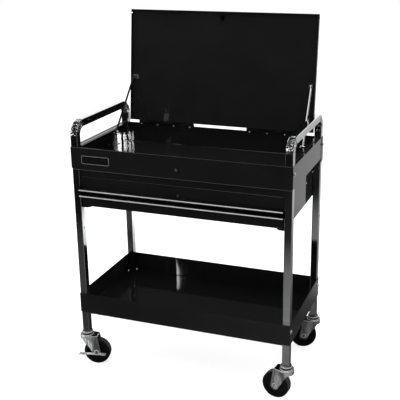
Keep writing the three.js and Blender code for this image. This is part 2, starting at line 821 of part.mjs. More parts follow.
// A rod with an eye round the bracket's pin at its upper end and a foot bent outward at its lower
// end. It is drawn about the pin, with the lid open.
function stay(side) {
  const slope = THREE.MathUtils.degToRad(stayAngle);
  const foot = [
    side * (stayFootSide - stayPivotSide),
    -stayLength * Math.cos(slope),
    -stayLength * Math.sin(slope),
  ];
  const eye = bar(stayEyeRadius, [-stayRadius, 0, 0], [stayRadius, 0, 0]);
  const rod = bar(stayRadius, [0, 0, 0], foot, pinSteps);
  const tip = bar(stayRadius, [foot[0] - side * stayRadius, foot[1], foot[2]],
    [side * (stayFootSide - stayPivotSide + stayFootReach), foot[1], foot[2]], pinSteps);
  return cut(join(eye, rod, tip), bar(stayPinRadius + fit, [-stayEyeRadius, 0, 0],
    [stayEyeRadius, 0, 0], pinSteps));
}

function stayGuide(side) {
  const top = rimHeight - sheet - fit;
  const web = sideBlock(side, guideSide, guideSide + sheet, guideFront, guideRear, top - guideHeight,
    top);
  const shelf = sideBlock(side, guideSide, guideSide + chestFlange, guideFront, guideRear, top - sheet,
    top);
  const slot = sideBlock(side, guideSide - overrun, guideSide + overrun, guideFront + guideSlotMargin,
    guideRear - guideSlotMargin, top - guideSlotDrop - guideSlotHeight, top - guideSlotDrop);
  const wallEnd = halfWidth - sheet - fit;
  const feet = [guideFront, guideRear - guideFoot].map((y) => sideBlock(side, guideSide, wallEnd, y,
    y + guideFoot, top - sheet, top));
  return cut(join(web, shelf, ...feet), slot);
}

const stayPivotY = hingeY + stayPivotAlong * Math.sin(lidLean) - stayPivotOut * Math.cos(lidLean);
const stayPivotZ = hingeZ + stayPivotAlong * Math.cos(lidLean) + stayPivotOut * Math.sin(lidLean);
for (const [word, side] of Object.entries(sides)) {
  lid.add(named(`stay_bracket_${word}`, stayBracket(side), zinc));
  const rod = named(`stay_${word}`, stay(side), zinc);
  rod.position.set(side * stayPivotSide, stayPivotY, stayPivotZ);
  cart.add(rod);
  cart.add(named(`stay_guide_${word}`, stayGuide(side), blackPaint));
}

// Casters. Each is drawn about its swivel axis, with +X toward the wheel and the floor at zero.

function casterStem() {
  const plateBottom = racewayTop + fit;
  const headTop = forkCrownHeight - forkSheet - fit;
  return turned([
    [0, headTop - kingpinHeadHeight],
    [kingpinHeadRadius, headTop - kingpinHeadHeight],
    [kingpinHeadRadius, headTop],
    [kingpinRadius, headTop],
    [kingpinRadius, plateBottom],
    [stemPlateRadius, plateBottom],
    [stemPlateRadius, stemPlateTop],
    [stemRadius, stemPlateTop],
    [stemRadius, stemPlateTop + stemLength],
    [0, stemPlateTop + stemLength],
  ]);
}

// A side plate's outline in X and Z: flat along the crown and drawn in to a round end at the axle.
function forkPlateOutline() {
  const top = forkCrownHeight;
  const start = THREE.MathUtils.degToRad(forkEndAngle);
  const shape = new THREE.Shape();
  shape.moveTo(forkFront - forkNoseDrop / 2, top);
  shape.lineTo(forkFront, top - forkNoseDrop);
  shape.absarc(casterTrail, wheelRadius, forkEndRadius, start, Math.PI * 2, false);
  shape.lineTo(forkRear, top);
  return shape;
}

function casterFork() {
  const crownBottom = forkCrownHeight - forkSheet;
  const outer = forkHalf + forkSheet;
  const crownOutline = new THREE.Shape();
  crownOutline.moveTo(forkRear, -outer);
  crownOutline.lineTo(forkRear, outer);
  crownOutline.lineTo(0, forkNoseRadius);
  crownOutline.absarc(0, 0, forkNoseRadius, Math.PI / 2, Math.PI * 1.5, false);
  const crown = pushZ(crownOutline, crownBottom, forkCrownHeight, { curveSegments: noseSteps });
  const raceway = turned([
    [0, crownBottom],
    [racewayRadius - forkSheet, crownBottom],
    [racewayRadius, (crownBottom + racewayTop) / 2],
    [racewayRadius, racewayTop],
    [0, racewayTop],
  ]);
  const shell = turned([
    [forkNoseRadius - forkSheet, forkCrownHeight - forkNoseDrop],
    [forkNoseRadius, forkCrownHeight - forkNoseDrop],
    [forkNoseRadius, forkCrownHeight + forkNoseLip],
    [forkNoseRadius - forkSheet, forkCrownHeight + forkNoseLip],
    [forkNoseRadius - forkSheet, forkCrownHeight - forkNoseDrop],
  ]);
  const noseOnly = block(-forkNoseRadius - overrun, forkFront, -forkNoseRadius - overrun,
    forkNoseRadius + overrun, 0, racewayTop);
  const nose = shell.intersect(noseOnly);
  const plates = [-outer, forkHalf].map((y) => pushY(forkPlateOutline(), y, y + forkSheet,
    { curveSegments: curveSteps }));
  const bore = bar(kingpinRadius + fit, [0, 0, crownBottom - overrun], [0, 0, racewayTop + overrun]);
  const axleBore = bar(axleRadius + fit, [casterTrail, -outer - overrun, wheelRadius],
    [casterTrail, outer + overrun, wheelRadius], pinSteps);
  return cut(join(crown, raceway, nose, ...plates), bore, axleBore);
}

// The axle bolt: its head and nut bear on the side plates, reach farther out where a pedal sits
// between plate and head.
function casterAxle(extra) {
  const seat = forkHalf + forkSheet + fit;
  const shank = bar(axleRadius, [0, -seat - extra, 0], [0, seat, 0], pinSteps);
  const head = bar(axleHeadRadius, [0, -seat - extra - axleHeadHeight, 0], [0, -seat - extra, 0],
    boltSides);
  const nut = bar(axleHeadRadius, [0, seat, 0], [0, seat + axleHeadHeight, 0], boltSides);
  return join(shank, head, nut);
}

// The wheel is turned about its own axis and then laid on its side, with one flat facet down.
function casterWheel() {
  const wide = 1 / Math.cos(Math.PI / wheelFacets);
  const half = wheelWidth / 2;
  const hubHalf = forkHalf - fit;
  const web = half - wheelWebInset;
  const body = turned([
    [axleRadius + fit, -hubHalf],
    [wheelHubRadius, -hubHalf],
    [wheelHubRadius, -web],
    [wheelRimRadius, -web],
    [wheelRimRadius, -half],
    [wheelRadius - wheelEdge, -half],
    [wheelRadius, wheelEdge - half],
    [wheelRadius, half - wheelEdge],
    [wheelRadius - wheelEdge, half],
    [wheelRimRadius, half],
    [wheelRimRadius, web],
    [wheelHubRadius, web],
    [wheelHubRadius, hubHalf],
    [axleRadius + fit, hubHalf],
    [axleRadius + fit, -hubHalf],
  ].map(([r, z]) => [r * wide, z]), wheelFacets);
  const halfFacet = 180 / wheelFacets;
  return body.rotate([0, 0, halfFacet]).rotate([90, 0, 0]);
}

// The brake pedal turns on the axle outside the front left fork, between plate and bolt head.
function brakePedal() {
  const seat = -(forkHalf + forkSheet + fit);
  const outer = seat - pedalSheet;
  const top = -pedalBelowAxle;
  const hub = bar(pedalHubRadius, [0, outer, 0], [0, seat, 0]);
  const arm = block(pedalToe, pedalHeel, outer, seat, top - pedalArmHeight / 2, top + pedalArmHeight / 2);
  const toe = block(pedalToe, pedalToe + pedalToeLength, outer - pedalPadWidth, seat, top,
    top + pedalSheet);
  const heel = block(pedalHeel - pedalHeelLength, pedalHeel, outer - pedalPadWidth, seat,
    top + pedalHeelRise, top + pedalHeelRise + pedalSheet);
  return cut(join(hub, arm, toe, heel), bar(axleRadius + fit, [0, outer - overrun, 0],
    [0, seat + overrun, 0], pinSteps));
}

for (const [word, [sx, sy]] of Object.entries(corners)) {
  const caster = new THREE.Group();
  caster.position.set(sx * legCentreX, sy * legCentreY, 0);
  caster.rotation.z = THREE.MathUtils.degToRad(casterAngles[word]);
  const braked = word === 'front_left';
  caster.add(named(`caster_stem_${word}`, casterStem(), zinc));
  caster.add(named(`caster_fork_${word}`, casterFork(), zinc));
  const hub = new THREE.Group();
  hub.position.set(casterTrail, 0, wheelRadius);
  hub.add(named(`caster_axle_${word}`, casterAxle(braked ? pedalSheet + fit : 0), zinc));
  hub.add(named(`caster_wheel_${word}`, casterWheel(), blackRubber));
  if (braked) hub.add(named('brake_pedal', brakePedal(), zinc));
  caster.add(hub);
  cart.add(caster);
}

// The origin is the middle of the footprint, on the floor.
cart.updateMatrixWorld(true);
const extent = new THREE.Box3().setFromObject(cart, true);
cart.position.set(-(extent.min.x + extent.max.x) / 2, -(extent.min.y + extent.max.y) / 2, -extent.min.z);

export default cart;
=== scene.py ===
# %% [markdown]
# # A service cart, dressed
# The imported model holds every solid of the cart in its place. This lesson gives those solids their
# finishes and adds what a plain solid can't show: the pinched bends of the tube, the tyres, the
# screws. The first lines load the model. `frame["nodes"]` then holds one object for each solid.

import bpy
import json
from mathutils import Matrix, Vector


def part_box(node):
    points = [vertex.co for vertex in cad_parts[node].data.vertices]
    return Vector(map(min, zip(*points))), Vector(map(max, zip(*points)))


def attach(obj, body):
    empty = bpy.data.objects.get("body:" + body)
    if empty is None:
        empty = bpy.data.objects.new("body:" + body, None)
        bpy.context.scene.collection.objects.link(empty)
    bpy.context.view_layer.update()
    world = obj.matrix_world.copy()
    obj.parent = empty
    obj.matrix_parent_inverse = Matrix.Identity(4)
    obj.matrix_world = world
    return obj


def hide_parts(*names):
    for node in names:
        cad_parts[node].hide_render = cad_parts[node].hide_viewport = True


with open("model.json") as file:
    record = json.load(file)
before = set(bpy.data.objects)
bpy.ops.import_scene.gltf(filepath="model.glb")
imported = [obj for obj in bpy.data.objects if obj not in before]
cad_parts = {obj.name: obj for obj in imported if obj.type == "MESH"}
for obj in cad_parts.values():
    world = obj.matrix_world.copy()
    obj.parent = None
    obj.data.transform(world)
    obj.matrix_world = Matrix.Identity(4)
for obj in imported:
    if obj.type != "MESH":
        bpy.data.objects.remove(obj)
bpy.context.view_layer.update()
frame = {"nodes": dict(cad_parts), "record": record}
nodes = frame["nodes"]

# %% [markdown]
# numpy works out shapes as whole arrays, bmesh cleans a mesh and mathutils turns things in space. A new
# Blender file has a lamp and a camera of its own, which go.

# %% The tools of this lesson
import json
import math

import bmesh
import bpy
import numpy as np
from mathutils import Matrix, Vector

scene = bpy.context.scene
for spare in [o for o in bpy.data.objects if o.type in ("LIGHT", "CAMERA")]:
    bpy.data.objects.remove(spare)

# %% [markdown]
# ## Where things are
# A maker measures the cart in millimetres from the middle of its trays, with the floor at zero.
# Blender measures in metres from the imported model's origin. The two tube frames stand evenly about
# the middle of the trays, so the middle of their boxes ties one measure to the other. The lid leans
# back, so it gets a measure of its own: along the lid from the hinge pin, and out of its inner face.

# %% From the maker's millimetres to metres
left_frame, right_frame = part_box("frame_left"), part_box("frame_right")
MIDDLE = np.array([
    (left_frame[0].x + right_frame[1].x) / 2,
    (left_frame[0].y + left_frame[1].y) / 2,
    0.0,
])
LEG_X, LEG_Y = 416.5, 212.5  # the middle of each leg
HINGE_Y, HINGE_Z = 223.5, 914.7  # the lid's hinge pin
LEAN = math.radians(6.6)  # how far the open lid leans back
CORNERS = {"front_left": (-1, -1), "front_right": (1, -1), "rear_left": (-1, 1), "rear_right": (1, 1)}
SIDES = {"left": -1, "right": 1}


def at(*point):
    """Points given in millimetres from the middle of the trays, as metres in the scene."""
    return np.asarray(point[0] if len(point) == 1 else point, float) / 1000 + MIDDLE


def in_mm(point):
    """The way back: a point of the scene in the maker's millimetres."""
    return np.array(point) * 1000 - MIDDLE * 1000


def on_lid(x, along, out):
    """A point of the open lid: x across, along from the hinge pin, out of the inner face."""
    x, along, out = np.broadcast_arrays(x, along, out)
    y = HINGE_Y + along * math.sin(LEAN) - out * math.cos(LEAN)
    z = HINGE_Z + along * math.cos(LEAN) + out * math.sin(LEAN)
    return at(np.stack([x, y, z], -1))


print("middle of the trays at", MIDDLE.round(5))

# %% [markdown]
# ## The camera
# The picture was taken from the front and a little to the right, from above the handles. The
# camera's place, its turn and its focal length were worked out from the straight edges of the trays
# and legs. A small shift puts the cart where it sits in the picture, and there is no blur.

# %% Place the camera
CAMERA_PLACE = (1078.6, -2740.4, 1680.3)
AZIMUTH, ELEVATION, ROLL = (math.radians(v) for v in (19.906, 17.388, -0.451))
PICTURE, FOCAL_PIXELS, MIDDLE_ACROSS, MIDDLE_DOWN = 400.0, 791.41, 220.81, 179.34
back = Vector((math.sin(AZIMUTH) * math.cos(ELEVATION), -math.cos(AZIMUTH) * math.cos(ELEVATION),
               math.sin(ELEVATION)))
level = Vector((math.cos(AZIMUTH), math.sin(AZIMUTH), 0))
upright = back.cross(level)
across = math.cos(ROLL) * level + math.sin(ROLL) * upright
over = -math.sin(ROLL) * level + math.cos(ROLL) * upright
camera = bpy.data.objects.new("camera", bpy.data.cameras.new("camera"))
scene.collection.objects.link(camera)
camera.matrix_world = (Matrix.Translation(Vector(at(CAMERA_PLACE)))
                       @ Matrix((across, over, back)).transposed().to_4x4())
camera.data.sensor_width = 36
camera.data.lens = FOCAL_PIXELS / PICTURE * camera.data.sensor_width
camera.data.shift_x = (PICTURE / 2 - MIDDLE_ACROSS) / PICTURE
camera.data.shift_y = (MIDDLE_DOWN - PICTURE / 2) / PICTURE
camera.data.clip_start, camera.data.clip_end = 0.05, 60
scene.camera = camera
scene.view_settings.view_transform = "Standard"
print("lens", round(camera.data.lens, 2), "mm")

# %% [markdown]
# ## The studio
# Gloss paint and chrome show the room more than themselves, so the room is part of the look. A room
# and a finish are both node trees, and a few helpers keep these short. The first two add a node and
# feed one of its sockets.


# %% Add and feed a node
def node(tree, kind, **settings):
    """Adds one shader node. A setting is a property of the node, or one of its inputs by name."""
    made = tree.nodes.new(kind)
    for key, value in settings.items():
        name = key.replace("_", " ")
        socket = next((s for s in made.inputs if s.name.lower() == name.lower()), None)
        if hasattr(made, key):
            setattr(made, key, value)
        else:
            socket.default_value = value
    return made


def feed(tree, value, socket):
    """Links an output to a socket, or sets the socket to a plain value."""
    if isinstance(value, bpy.types.NodeSocket):
        tree.links.new(value, socket)
    else:
        socket.default_value = value


print("ready to add nodes")

# %% [markdown]
# The others make the kinds of node that are used most: a ramp of colours, a change of range, a sum
# and a choice between two things.


# %% Four kinds of node
def ramp(tree, source, *stops):
    """A Color Ramp fed by a socket: stops are (position, grey or colour)."""
    made = node(tree, "ShaderNodeValToRGB")
    band = made.color_ramp
    while len(band.elements) < len(stops):
        band.elements.new(1)
    for element, (place, value) in zip(band.elements, stops):
        element.position = place
        colour = (value,) * 3 if isinstance(value, (int, float)) else value
        element.color = (*colour, 1)
    feed(tree, source, made.inputs["Fac"])
    return made.outputs["Color"]


def remap(tree, source, low, high, to_low=0.0, to_high=1.0):
    """A Map Range: low to high becomes to_low to to_high, and nothing goes past these."""
    made = node(tree, "ShaderNodeMapRange", From_Min=low, From_Max=high, To_Min=to_low, To_Max=to_high)
    feed(tree, source, made.inputs["Value"])
    return made.outputs["Result"]


def reckon(tree, operation, *values):
    """A Math node on sockets or plain numbers."""
    made = node(tree, "ShaderNodeMath", operation=operation)
    for value, socket in zip(values, made.inputs):
        feed(tree, value, socket)
    return made.outputs[0]


def choose(tree, kind, which, first, second):
    """A Mix or Mix Shader node: first where which is 0, second where it is 1."""
    if kind == "colour":
        made = node(tree, "ShaderNodeMix", data_type="RGBA")
        places = (0, 6, 7)  # the factor and the two colours of this node
    else:
        made, places = node(tree, "ShaderNodeMixShader"), (0, 1, 2)
    for place, value in zip(places, (which, first, second)):
        feed(tree, value, made.inputs[place])
    return made.outputs[2 if kind == "colour" else 0]


print("ready to build node trees")

# %% [markdown]
# The room is a white sweep behind the cart and a dark room in front of it: the front panels mirror
# the dark part and look deep black, and the side panels mirror the white part and look grey. The
# sweep is low: from about twenty degrees above the horizon up, the room is dark all round. A Light
# Path node tells which kind of ray is asking, so the room can be white for the camera and graded
# for reflections.

# %% The world around the cart
world = bpy.data.worlds.new("studio")
scene.world = world
world.use_nodes = True
tree = world.node_tree
tree.nodes.clear()
direction = node(tree, "ShaderNodeTexCoord")
toward = node(tree, "ShaderNodeSeparateXYZ")
tree.links.new(direction.outputs["Generated"], toward.inputs[0])
depth = remap(tree, toward.outputs["Y"], -1, 1)
backdrop = ramp(tree, depth, (0.0, 0.02), (0.3, 0.05), (0.55, 0.7), (0.8, 1.0))
low = remap(tree, toward.outputs["Z"], 0.29, 0.35, 1.4, 0.05)
graded = node(tree, "ShaderNodeVectorMath", operation="SCALE")
tree.links.new(backdrop, graded.inputs[0])
tree.links.new(low, graded.inputs["Scale"])
rays = node(tree, "ShaderNodeLightPath").outputs
sky = choose(tree, "colour", rays["Is Glossy Ray"], (0.62, 0.62, 0.62, 1), graded.outputs[0])
white = choose(tree, "colour", rays["Is Camera Ray"], sky, (1, 1, 1, 1))
glow = node(tree, "ShaderNodeBackground", Strength=1)
output = node(tree, "ShaderNodeOutputWorld")
tree.links.new(white, glow.inputs["Color"])
tree.links.new(glow.outputs[0], output.inputs[0])
print("world made of", len(tree.nodes), "nodes")

# %% [markdown]
# ## The floor
# The floor is one large sheet of pale paper. It lies a hair below zero, so that it doesn't cut into the
# wheels, which reach down to zero.

# %% A sheet of paper
REACH, BELOW = 14.0, 0.0004  # metres
floor_mesh = bpy.data.meshes.new("floor")
floor_mesh.from_pydata([(-REACH, -REACH, 0), (REACH, -REACH, 0), (REACH, REACH, 0), (-REACH, REACH, 0)],
                       [], [(0, 1, 2, 3)])
floor = bpy.data.objects.new("floor", floor_mesh)
scene.collection.objects.link(floor)
floor.location.z = -BELOW
print("floor", REACH * 2, "m square")

# %% [markdown]
# Tubes and low walls mirror the floor close to the cart, and in a studio that is anything but even:
# there are paper edges, dark gaps and lit patches. So the paper has a mirror image of its own. Its
# grey runs from the front to the back in steps, it darkens toward the left, and it is brighter in
# two places: a strip behind the cart, and a patch beside the front left leg.

# %% What the floor shows in gloss
paper = bpy.data.materials.new("floor paper")
paper.use_nodes = True
tree = paper.node_tree
tree.nodes.clear()
place = node(tree, "ShaderNodeTexCoord")
spot = node(tree, "ShaderNodeSeparateXYZ")
tree.links.new(place.outputs["Object"], spot.inputs[0])
x, y = spot.outputs["X"], spot.outputs["Y"]
grey = ramp(tree, remap(tree, y, -2.0, 2.0), (0.05, 0.04), (0.1, 0.17), (0.14, 0.26), (0.175, 0.29),
            (0.29, 0.35), (0.305, 0.17), (0.335, 0.17), (0.345, 0.25), (0.375, 0.24), (0.5, 0.08),
            (0.6, 0.05), (0.66, 0.12), (0.72, 0.22), (1.0, 0.64))
leftward = remap(tree, x, -0.35, 0.3, 0.22, 1.0)
strip_ends = remap(tree, x, 0.42, 0.62, 4.0, 0.0)
strip = ramp(tree, remap(tree, y, 0.5, 2.0), (0.07, 0), (0.2, 1), (0.72, 1), (0.85, 0))
behind = reckon(tree, "MULTIPLY_ADD", strip_ends, strip, 1)
patch = ramp(tree, remap(tree, y, -0.6, -0.1), (0.24, 0), (0.28, 0.1), (0.34, 1), (0.7, 1), (0.78, 0))
patch_ends = remap(tree, x, -0.425, -0.395, 7.0, 0.9)
beside = reckon(tree, "MULTIPLY_ADD", patch, patch_ends, leftward)
sheen = node(tree, "ShaderNodeEmission")
tree.links.new(grey, sheen.inputs["Color"])
tree.links.new(reckon(tree, "MULTIPLY", beside, behind), sheen.inputs["Strength"])
print("mirror image of the floor made of", len(tree.nodes), "nodes")

# %% [markdown]
# To the camera the paper is its own pale colour, which keeps the cart's shadow, with enough glow
# added to bring it to white. To every other ray but a mirrored one it is plain paper.

# %% What the floor shows otherwise
rays = node(tree, "ShaderNodeLightPath").outputs
lit = node(tree, "ShaderNodeBsdfDiffuse", Color=(0.8, 0.8, 0.8, 1))
plain = node(tree, "ShaderNodeEmission", Strength=0.75)
seen = node(tree, "ShaderNodeAddShader")
tree.links.new(lit.outputs[0], seen.inputs[0])
tree.links.new(plain.outputs[0], seen.inputs[1])
by_camera = choose(tree, "shader", rays["Is Camera Ray"], lit.outputs[0], seen.outputs[0])
by_mirror = choose(tree, "shader", rays["Is Glossy Ray"], by_camera, sheen.outputs[0])
output = node(tree, "ShaderNodeOutputMaterial")
tree.links.new(by_mirror, output.inputs[0])
floor.data.materials.append(paper)
print("floor paper made of", len(tree.nodes), "nodes")

# %% [markdown]
# ## Lamps
# Three soft boxes give the plain light: one above, one on the left and one behind, which lights the
# cart but doesn't show in it. Two small lamps are there for what gloss shows. A strip light far in
# front is aimed at the lower half of the cart. A flash by the camera shows only in gloss: where a
# floor and two walls meet, their three mirrors send light straight back, so it comes up bright in
# the rear left corner of the chest. A lamp with a narrow spread is far brighter along its own line,
# and so these two need very little power.


# %% Place the lamps
def lamp(name, place, aim, size, power, tall=None, mirrored=True, lights=True, spread=180):
    """A soft box at place, turned toward aim: size across and tall upright, or square. With mirrored
    off it lights the cart but doesn't show in gloss, and with lights off it only shows in gloss. Its
    light goes out over spread degrees."""
    data = bpy.data.lights.new(name, "AREA")
    data.shape, data.size, data.size_y, data.energy = "RECTANGLE", size, tall or size, power
    data.spread = math.radians(spread)
    made = bpy.data.objects.new(name, data)
    scene.collection.objects.link(made)
    made.location = place
    made.visible_glossy, made.visible_diffuse = mirrored, lights
    made.rotation_mode = "QUATERNION"
    made.rotation_quaternion = (Vector(aim) - Vector(place)).to_track_quat("-Z", "Y")


lamp("soft box above", place=(0.2, -0.6, 3.4), aim=(0, 0, 0.7), size=2.4, power=46)
lamp("soft box on the left", place=(-2.8, -1.4, 2.0), aim=(0, 0, 0.6), size=1.4, power=16)
lamp("soft box behind", place=(1.6, 2.6, 2.2), aim=(0, 0, 0.8), size=1.6, power=20, mirrored=False)
lamp("strip light in front", place=at(-2033, -4000, 2269), aim=at(0, 100, 300), size=0.04, tall=0.42,
     power=0.055, spread=16)
lamp("flash by the camera", place=at(1140, -2770, 1696), aim=at(-384, 180, 840), size=0.1, tall=0.2,
     power=0.045, spread=14, lights=False)
print("three soft boxes, a strip light and a flash")

# %% [markdown]
# ## Finishes
# Every finish is a Principled shader with some noise in it, because no real surface is the same all
# over. The noise reads Object coordinates, which stay with the metal when a door or drawer moves.
# One helper makes the common part: two colours mixed by a pattern, a roughness that wanders between
# two values, and a bump.


# %% A helper for finishes
def finish(name, dark, light, rough, metallic=0.0, grain=60.0, spread=(0.35, 0.65), bump=0.05,
           bump_scale=400.0, bump_depth=0.0002, stretch=(1, 1, 1), **sockets):
    """A Principled material: colours mixed by noise, roughness between two values, and a bump."""
    made = bpy.data.materials.new(name)
    made.use_nodes = True
    tree = made.node_tree
    shader = tree.nodes["Principled BSDF"]
    place = node(tree, "ShaderNodeTexCoord")
    turn = node(tree, "ShaderNodeMapping")
    turn.inputs["Scale"].default_value = stretch
    tree.links.new(place.outputs["Object"], turn.inputs["Vector"])
    cloud = node(tree, "ShaderNodeTexNoise", Scale=grain, Detail=6.0, Roughness=0.55)
    tree.links.new(turn.outputs["Vector"], cloud.inputs["Vector"])
    colour = ramp(tree, cloud.outputs["Fac"], (spread[0], dark), (spread[1], light))
    tree.links.new(colour, shader.inputs["Base Color"])
    wander = remap(tree, cloud.outputs["Fac"], 0.3, 0.7, *rough)
    tree.links.new(wander, shader.inputs["Roughness"])
    fine = node(tree, "ShaderNodeTexNoise", Scale=bump_scale, Detail=3.0)
    tree.links.new(turn.outputs["Vector"], fine.inputs["Vector"])
    relief = node(tree, "ShaderNodeBump", Strength=bump, Distance=bump_depth)
    tree.links.new(fine.outputs["Fac"], relief.inputs["Height"])
    tree.links.new(relief.outputs["Normal"], shader.inputs["Normal"])
    shader.inputs["Metallic"].default_value = metallic
    for key, value in sockets.items():
        shader.inputs[key.replace("_", " ")].default_value = value
    return made


print("ready to make finishes")

# %% [markdown]
# The sheet metal has a black gloss coat: nearly no colour of its own, a sharp mirror on top and the
# faint ripple of sprayed paint. The frames are chromed and the casters are zinc plated with a cloudy
# tone. Screws and the beads of the pull are bright trim, washers are nickel plated, and the tyres
# are hard black rubber with a dusty tread. Each slot of the record has one finish. A few small
# solids look different from the rest of their slot in the picture, and OTHERS names them.

# %% Make the finishes
black_gloss = finish("black gloss paint", (0.0088, 0.0088, 0.0092), (0.0108, 0.0108, 0.0112),
                     (0.015, 0.04), grain=9, bump=0.03, bump_scale=260, IOR=1.45)
chrome = finish("chromed tube", (0.48, 0.485, 0.5), (0.56, 0.565, 0.575), (0.05, 0.1), metallic=1,
                grain=14, bump=0.12, bump_scale=120, bump_depth=0.0003)
zinc = finish("zinc plate", (0.14, 0.14, 0.145), (0.62, 0.625, 0.63), (0.08, 0.2), metallic=0.75,
              grain=58, spread=(0.4, 0.62), bump=0.06, bump_scale=500, stretch=(1, 1, 0.12))
nickel = finish("nickel head", (0.66, 0.66, 0.65), (0.82, 0.82, 0.81), (0.18, 0.3), metallic=0.45,
                grain=90)
silver = finish("silver border", (0.2, 0.2, 0.2), (0.3, 0.3, 0.3), (0.3, 0.42), metallic=0.1, grain=90)
dark_steel = finish("dark steel rod", (0.045, 0.045, 0.047), (0.09, 0.09, 0.092), (0.1, 0.18),
                    metallic=1, grain=60, bump=0.06, bump_scale=700)
bright_steel = finish("bright steel", (0.6, 0.6, 0.6), (0.76, 0.76, 0.75), (0.12, 0.24), metallic=1,
                      grain=180, bump=0.1, bump_scale=900)
black_pull = finish("black pull", (0.002, 0.002, 0.0022), (0.0045, 0.0045, 0.0047), (0.4, 0.55),
                    grain=30, bump=0.1, bump_scale=900, stretch=(0.05, 1, 1), IOR=1.3)
rubber = finish("black rubber", (0.0022, 0.0022, 0.0024), (0.0045, 0.0045, 0.0048), (0.24, 0.34),
                grain=90, bump=0.2, bump_scale=1200, IOR=1.22)
tread = finish("worn tread", (0.02, 0.02, 0.02), (0.034, 0.034, 0.035), (0.5, 0.7), grain=130,
               bump=0.4, bump_scale=1500)
trim = finish("bright trim", (0.84, 0.84, 0.85), (0.92, 0.92, 0.92), (0.28, 0.36), metallic=0.45,
              grain=50, bump=0.05, bump_scale=900, stretch=(0.05, 1, 1))
enamel = finish("plate enamel", (0.005, 0.005, 0.005), (0.008, 0.008, 0.008), (0.12, 0.2), grain=40)
# painted shade: the dark that the inside of a hole or a groove would have, put on a thin piece over it
painted_recess_shade = finish("painted shade in a recess", (0.002, 0.002, 0.002), (0.004, 0.004, 0.004), (0.8, 0.9))
# painted highlight: a pale grey for the light that a rounded fold catches, also used on the lock plugs
painted_highlight_grey = finish("painted highlight on folds and plugs", (0.03, 0.03, 0.031), (0.09, 0.09, 0.091), (0.25, 0.4), grain=30,
                   stretch=(0.06, 1, 1))
MATERIALS = {"chrome": chrome, "black_paint": black_gloss, "zinc": zinc, "bright_steel": bright_steel,
             "black_pull": black_pull, "black_rubber": rubber, "plate_enamel": enamel}
# the left stay's black and the right stay's chrome are painted shade and a painted highlight on two rods
# of one kind
OTHERS = {"stay_left": black_pull, "stay_right": chrome, "lid_catch": dark_steel,
          "chest_lock_barrel": black_pull, "drawer_lock_barrel": black_pull,
          # the lock plugs' pale grey is a painted highlight
          "chest_lock_plug": painted_highlight_grey, "drawer_lock_plug": painted_highlight_grey, "brake_pedal": nickel}
print(len(bpy.data.materials) - 1, "finishes")

# %% [markdown]
# A bend in square tube is never smooth: it is full of small dents, which chrome turns into bright and
# dark spots. The mesh of each tube says how much it is bent at a point, in an attribute called
# "pinch", and a second bump in the chrome reads it, so the straight runs stay clean.

# %% Dents where the tube is bent
tree = chrome.node_tree
pinch = node(tree, "ShaderNodeAttribute", attribute_name="pinch")
place = node(tree, "ShaderNodeTexCoord")
dents = node(tree, "ShaderNodeTexNoise", Scale=36.0, Detail=1.0, Distortion=1.2)
tree.links.new(place.outputs["Object"], dents.inputs["Vector"])
dented = node(tree, "ShaderNodeBump", Distance=0.05)
tree.links.new(pinch.outputs["Fac"], dented.inputs["Strength"])
tree.links.new(dents.outputs["Fac"], dented.inputs["Height"])
shader = tree.nodes["Principled BSDF"]
tree.links.new(shader.inputs["Normal"].links[0].from_socket, dented.inputs["Normal"])
tree.links.new(dented.outputs["Normal"], shader.inputs["Normal"])
print("chrome has", len(tree.nodes), "nodes")

# %% [markdown]
# ## Soft edges on every solid
# A sharp edge in a render looks false, because real sheet and forgings have small rounds that catch
# the light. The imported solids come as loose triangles, so three modifiers work in a row: Weld joins
# the corners, Decimate in planar mode merges flat triangles into whole faces, and Bevel rounds what
# is left. A small node group then shades across shallow angles only, and Weighted Normal lets the
# large faces rule, so that a flat panel mirrors as a flat panel. The node groups come first.


# %% Shading that stays crisp at sharp angles
def geometry_group(name):
    """An empty node group for use as a modifier, with its way in and its way out."""
    group = bpy.data.node_groups.new(name, "GeometryNodeTree")
    for way in ("INPUT", "OUTPUT"):
        group.interface.new_socket("Geometry", in_out=way, socket_type="NodeSocketGeometry")
    return group, group.nodes.new("NodeGroupInput"), group.nodes.new("NodeGroupOutput")


def shade_by_angle(sharpest):
    """A node group: smooths every face, and keeps the edges over an angle sharp."""
    group, entry, leave = geometry_group("shade by angle")
    angle = group.nodes.new("GeometryNodeInputMeshEdgeAngle")
    steep = group.nodes.new("FunctionNodeCompare")
    steep.data_type, steep.operation = "FLOAT", "GREATER_THAN"
    steep.inputs[1].default_value = sharpest
    faces, edges = (group.nodes.new("GeometryNodeSetShadeSmooth") for _ in range(2))
    edges.domain = "EDGE"
    edges.inputs["Shade Smooth"].default_value = False
    group.links.new(entry.outputs[0], faces.inputs[0])
    group.links.new(faces.outputs[0], edges.inputs[0])
    group.links.new(angle.outputs[0], steep.inputs[0])
    group.links.new(steep.outputs[0], edges.inputs["Selection"])
    group.links.new(edges.outputs[0], leave.inputs[0])
    return group


def drop_normals():
    """A node group that drops the normals stored with a mesh, so that later modifiers set them."""
    group, entry, leave = geometry_group("drop stored normals")
    drop = group.nodes.new("GeometryNodeRemoveAttribute")
    drop.inputs["Name"].default_value = "custom_normal"
    group.links.new(entry.outputs[0], drop.inputs[0])
    group.links.new(drop.outputs[0], leave.inputs[0])
    return group


ANGLE_GROUP, DROP_GROUP = shade_by_angle(math.radians(32)), drop_normals()
print(len(ANGLE_GROUP.nodes) + len(DROP_GROUP.nodes), "nodes in two groups")

# %% [markdown]
# The round is a third of a millimetre, which is about what a folded sheet or a filed edge has. It is
# too small to see as a shape, but it draws a thin light line along each edge.

# %% Round the edges
EDGE_ROUND = 0.35


def soften(piece, width, limit=38):
    """Bevels the edges sharper than limit degrees by width millimetres, then shades by angle."""
    if width:
        bevel = piece.modifiers.new("round edges", "BEVEL")
        bevel.width, bevel.segments = width / 1000, 2
        bevel.limit_method, bevel.angle_limit = "ANGLE", math.radians(limit)
    piece.modifiers.new("shade", "NODES").node_group = ANGLE_GROUP
    even = piece.modifiers.new("flat faces rule", "WEIGHTED_NORMAL")
    even.keep_sharp = True


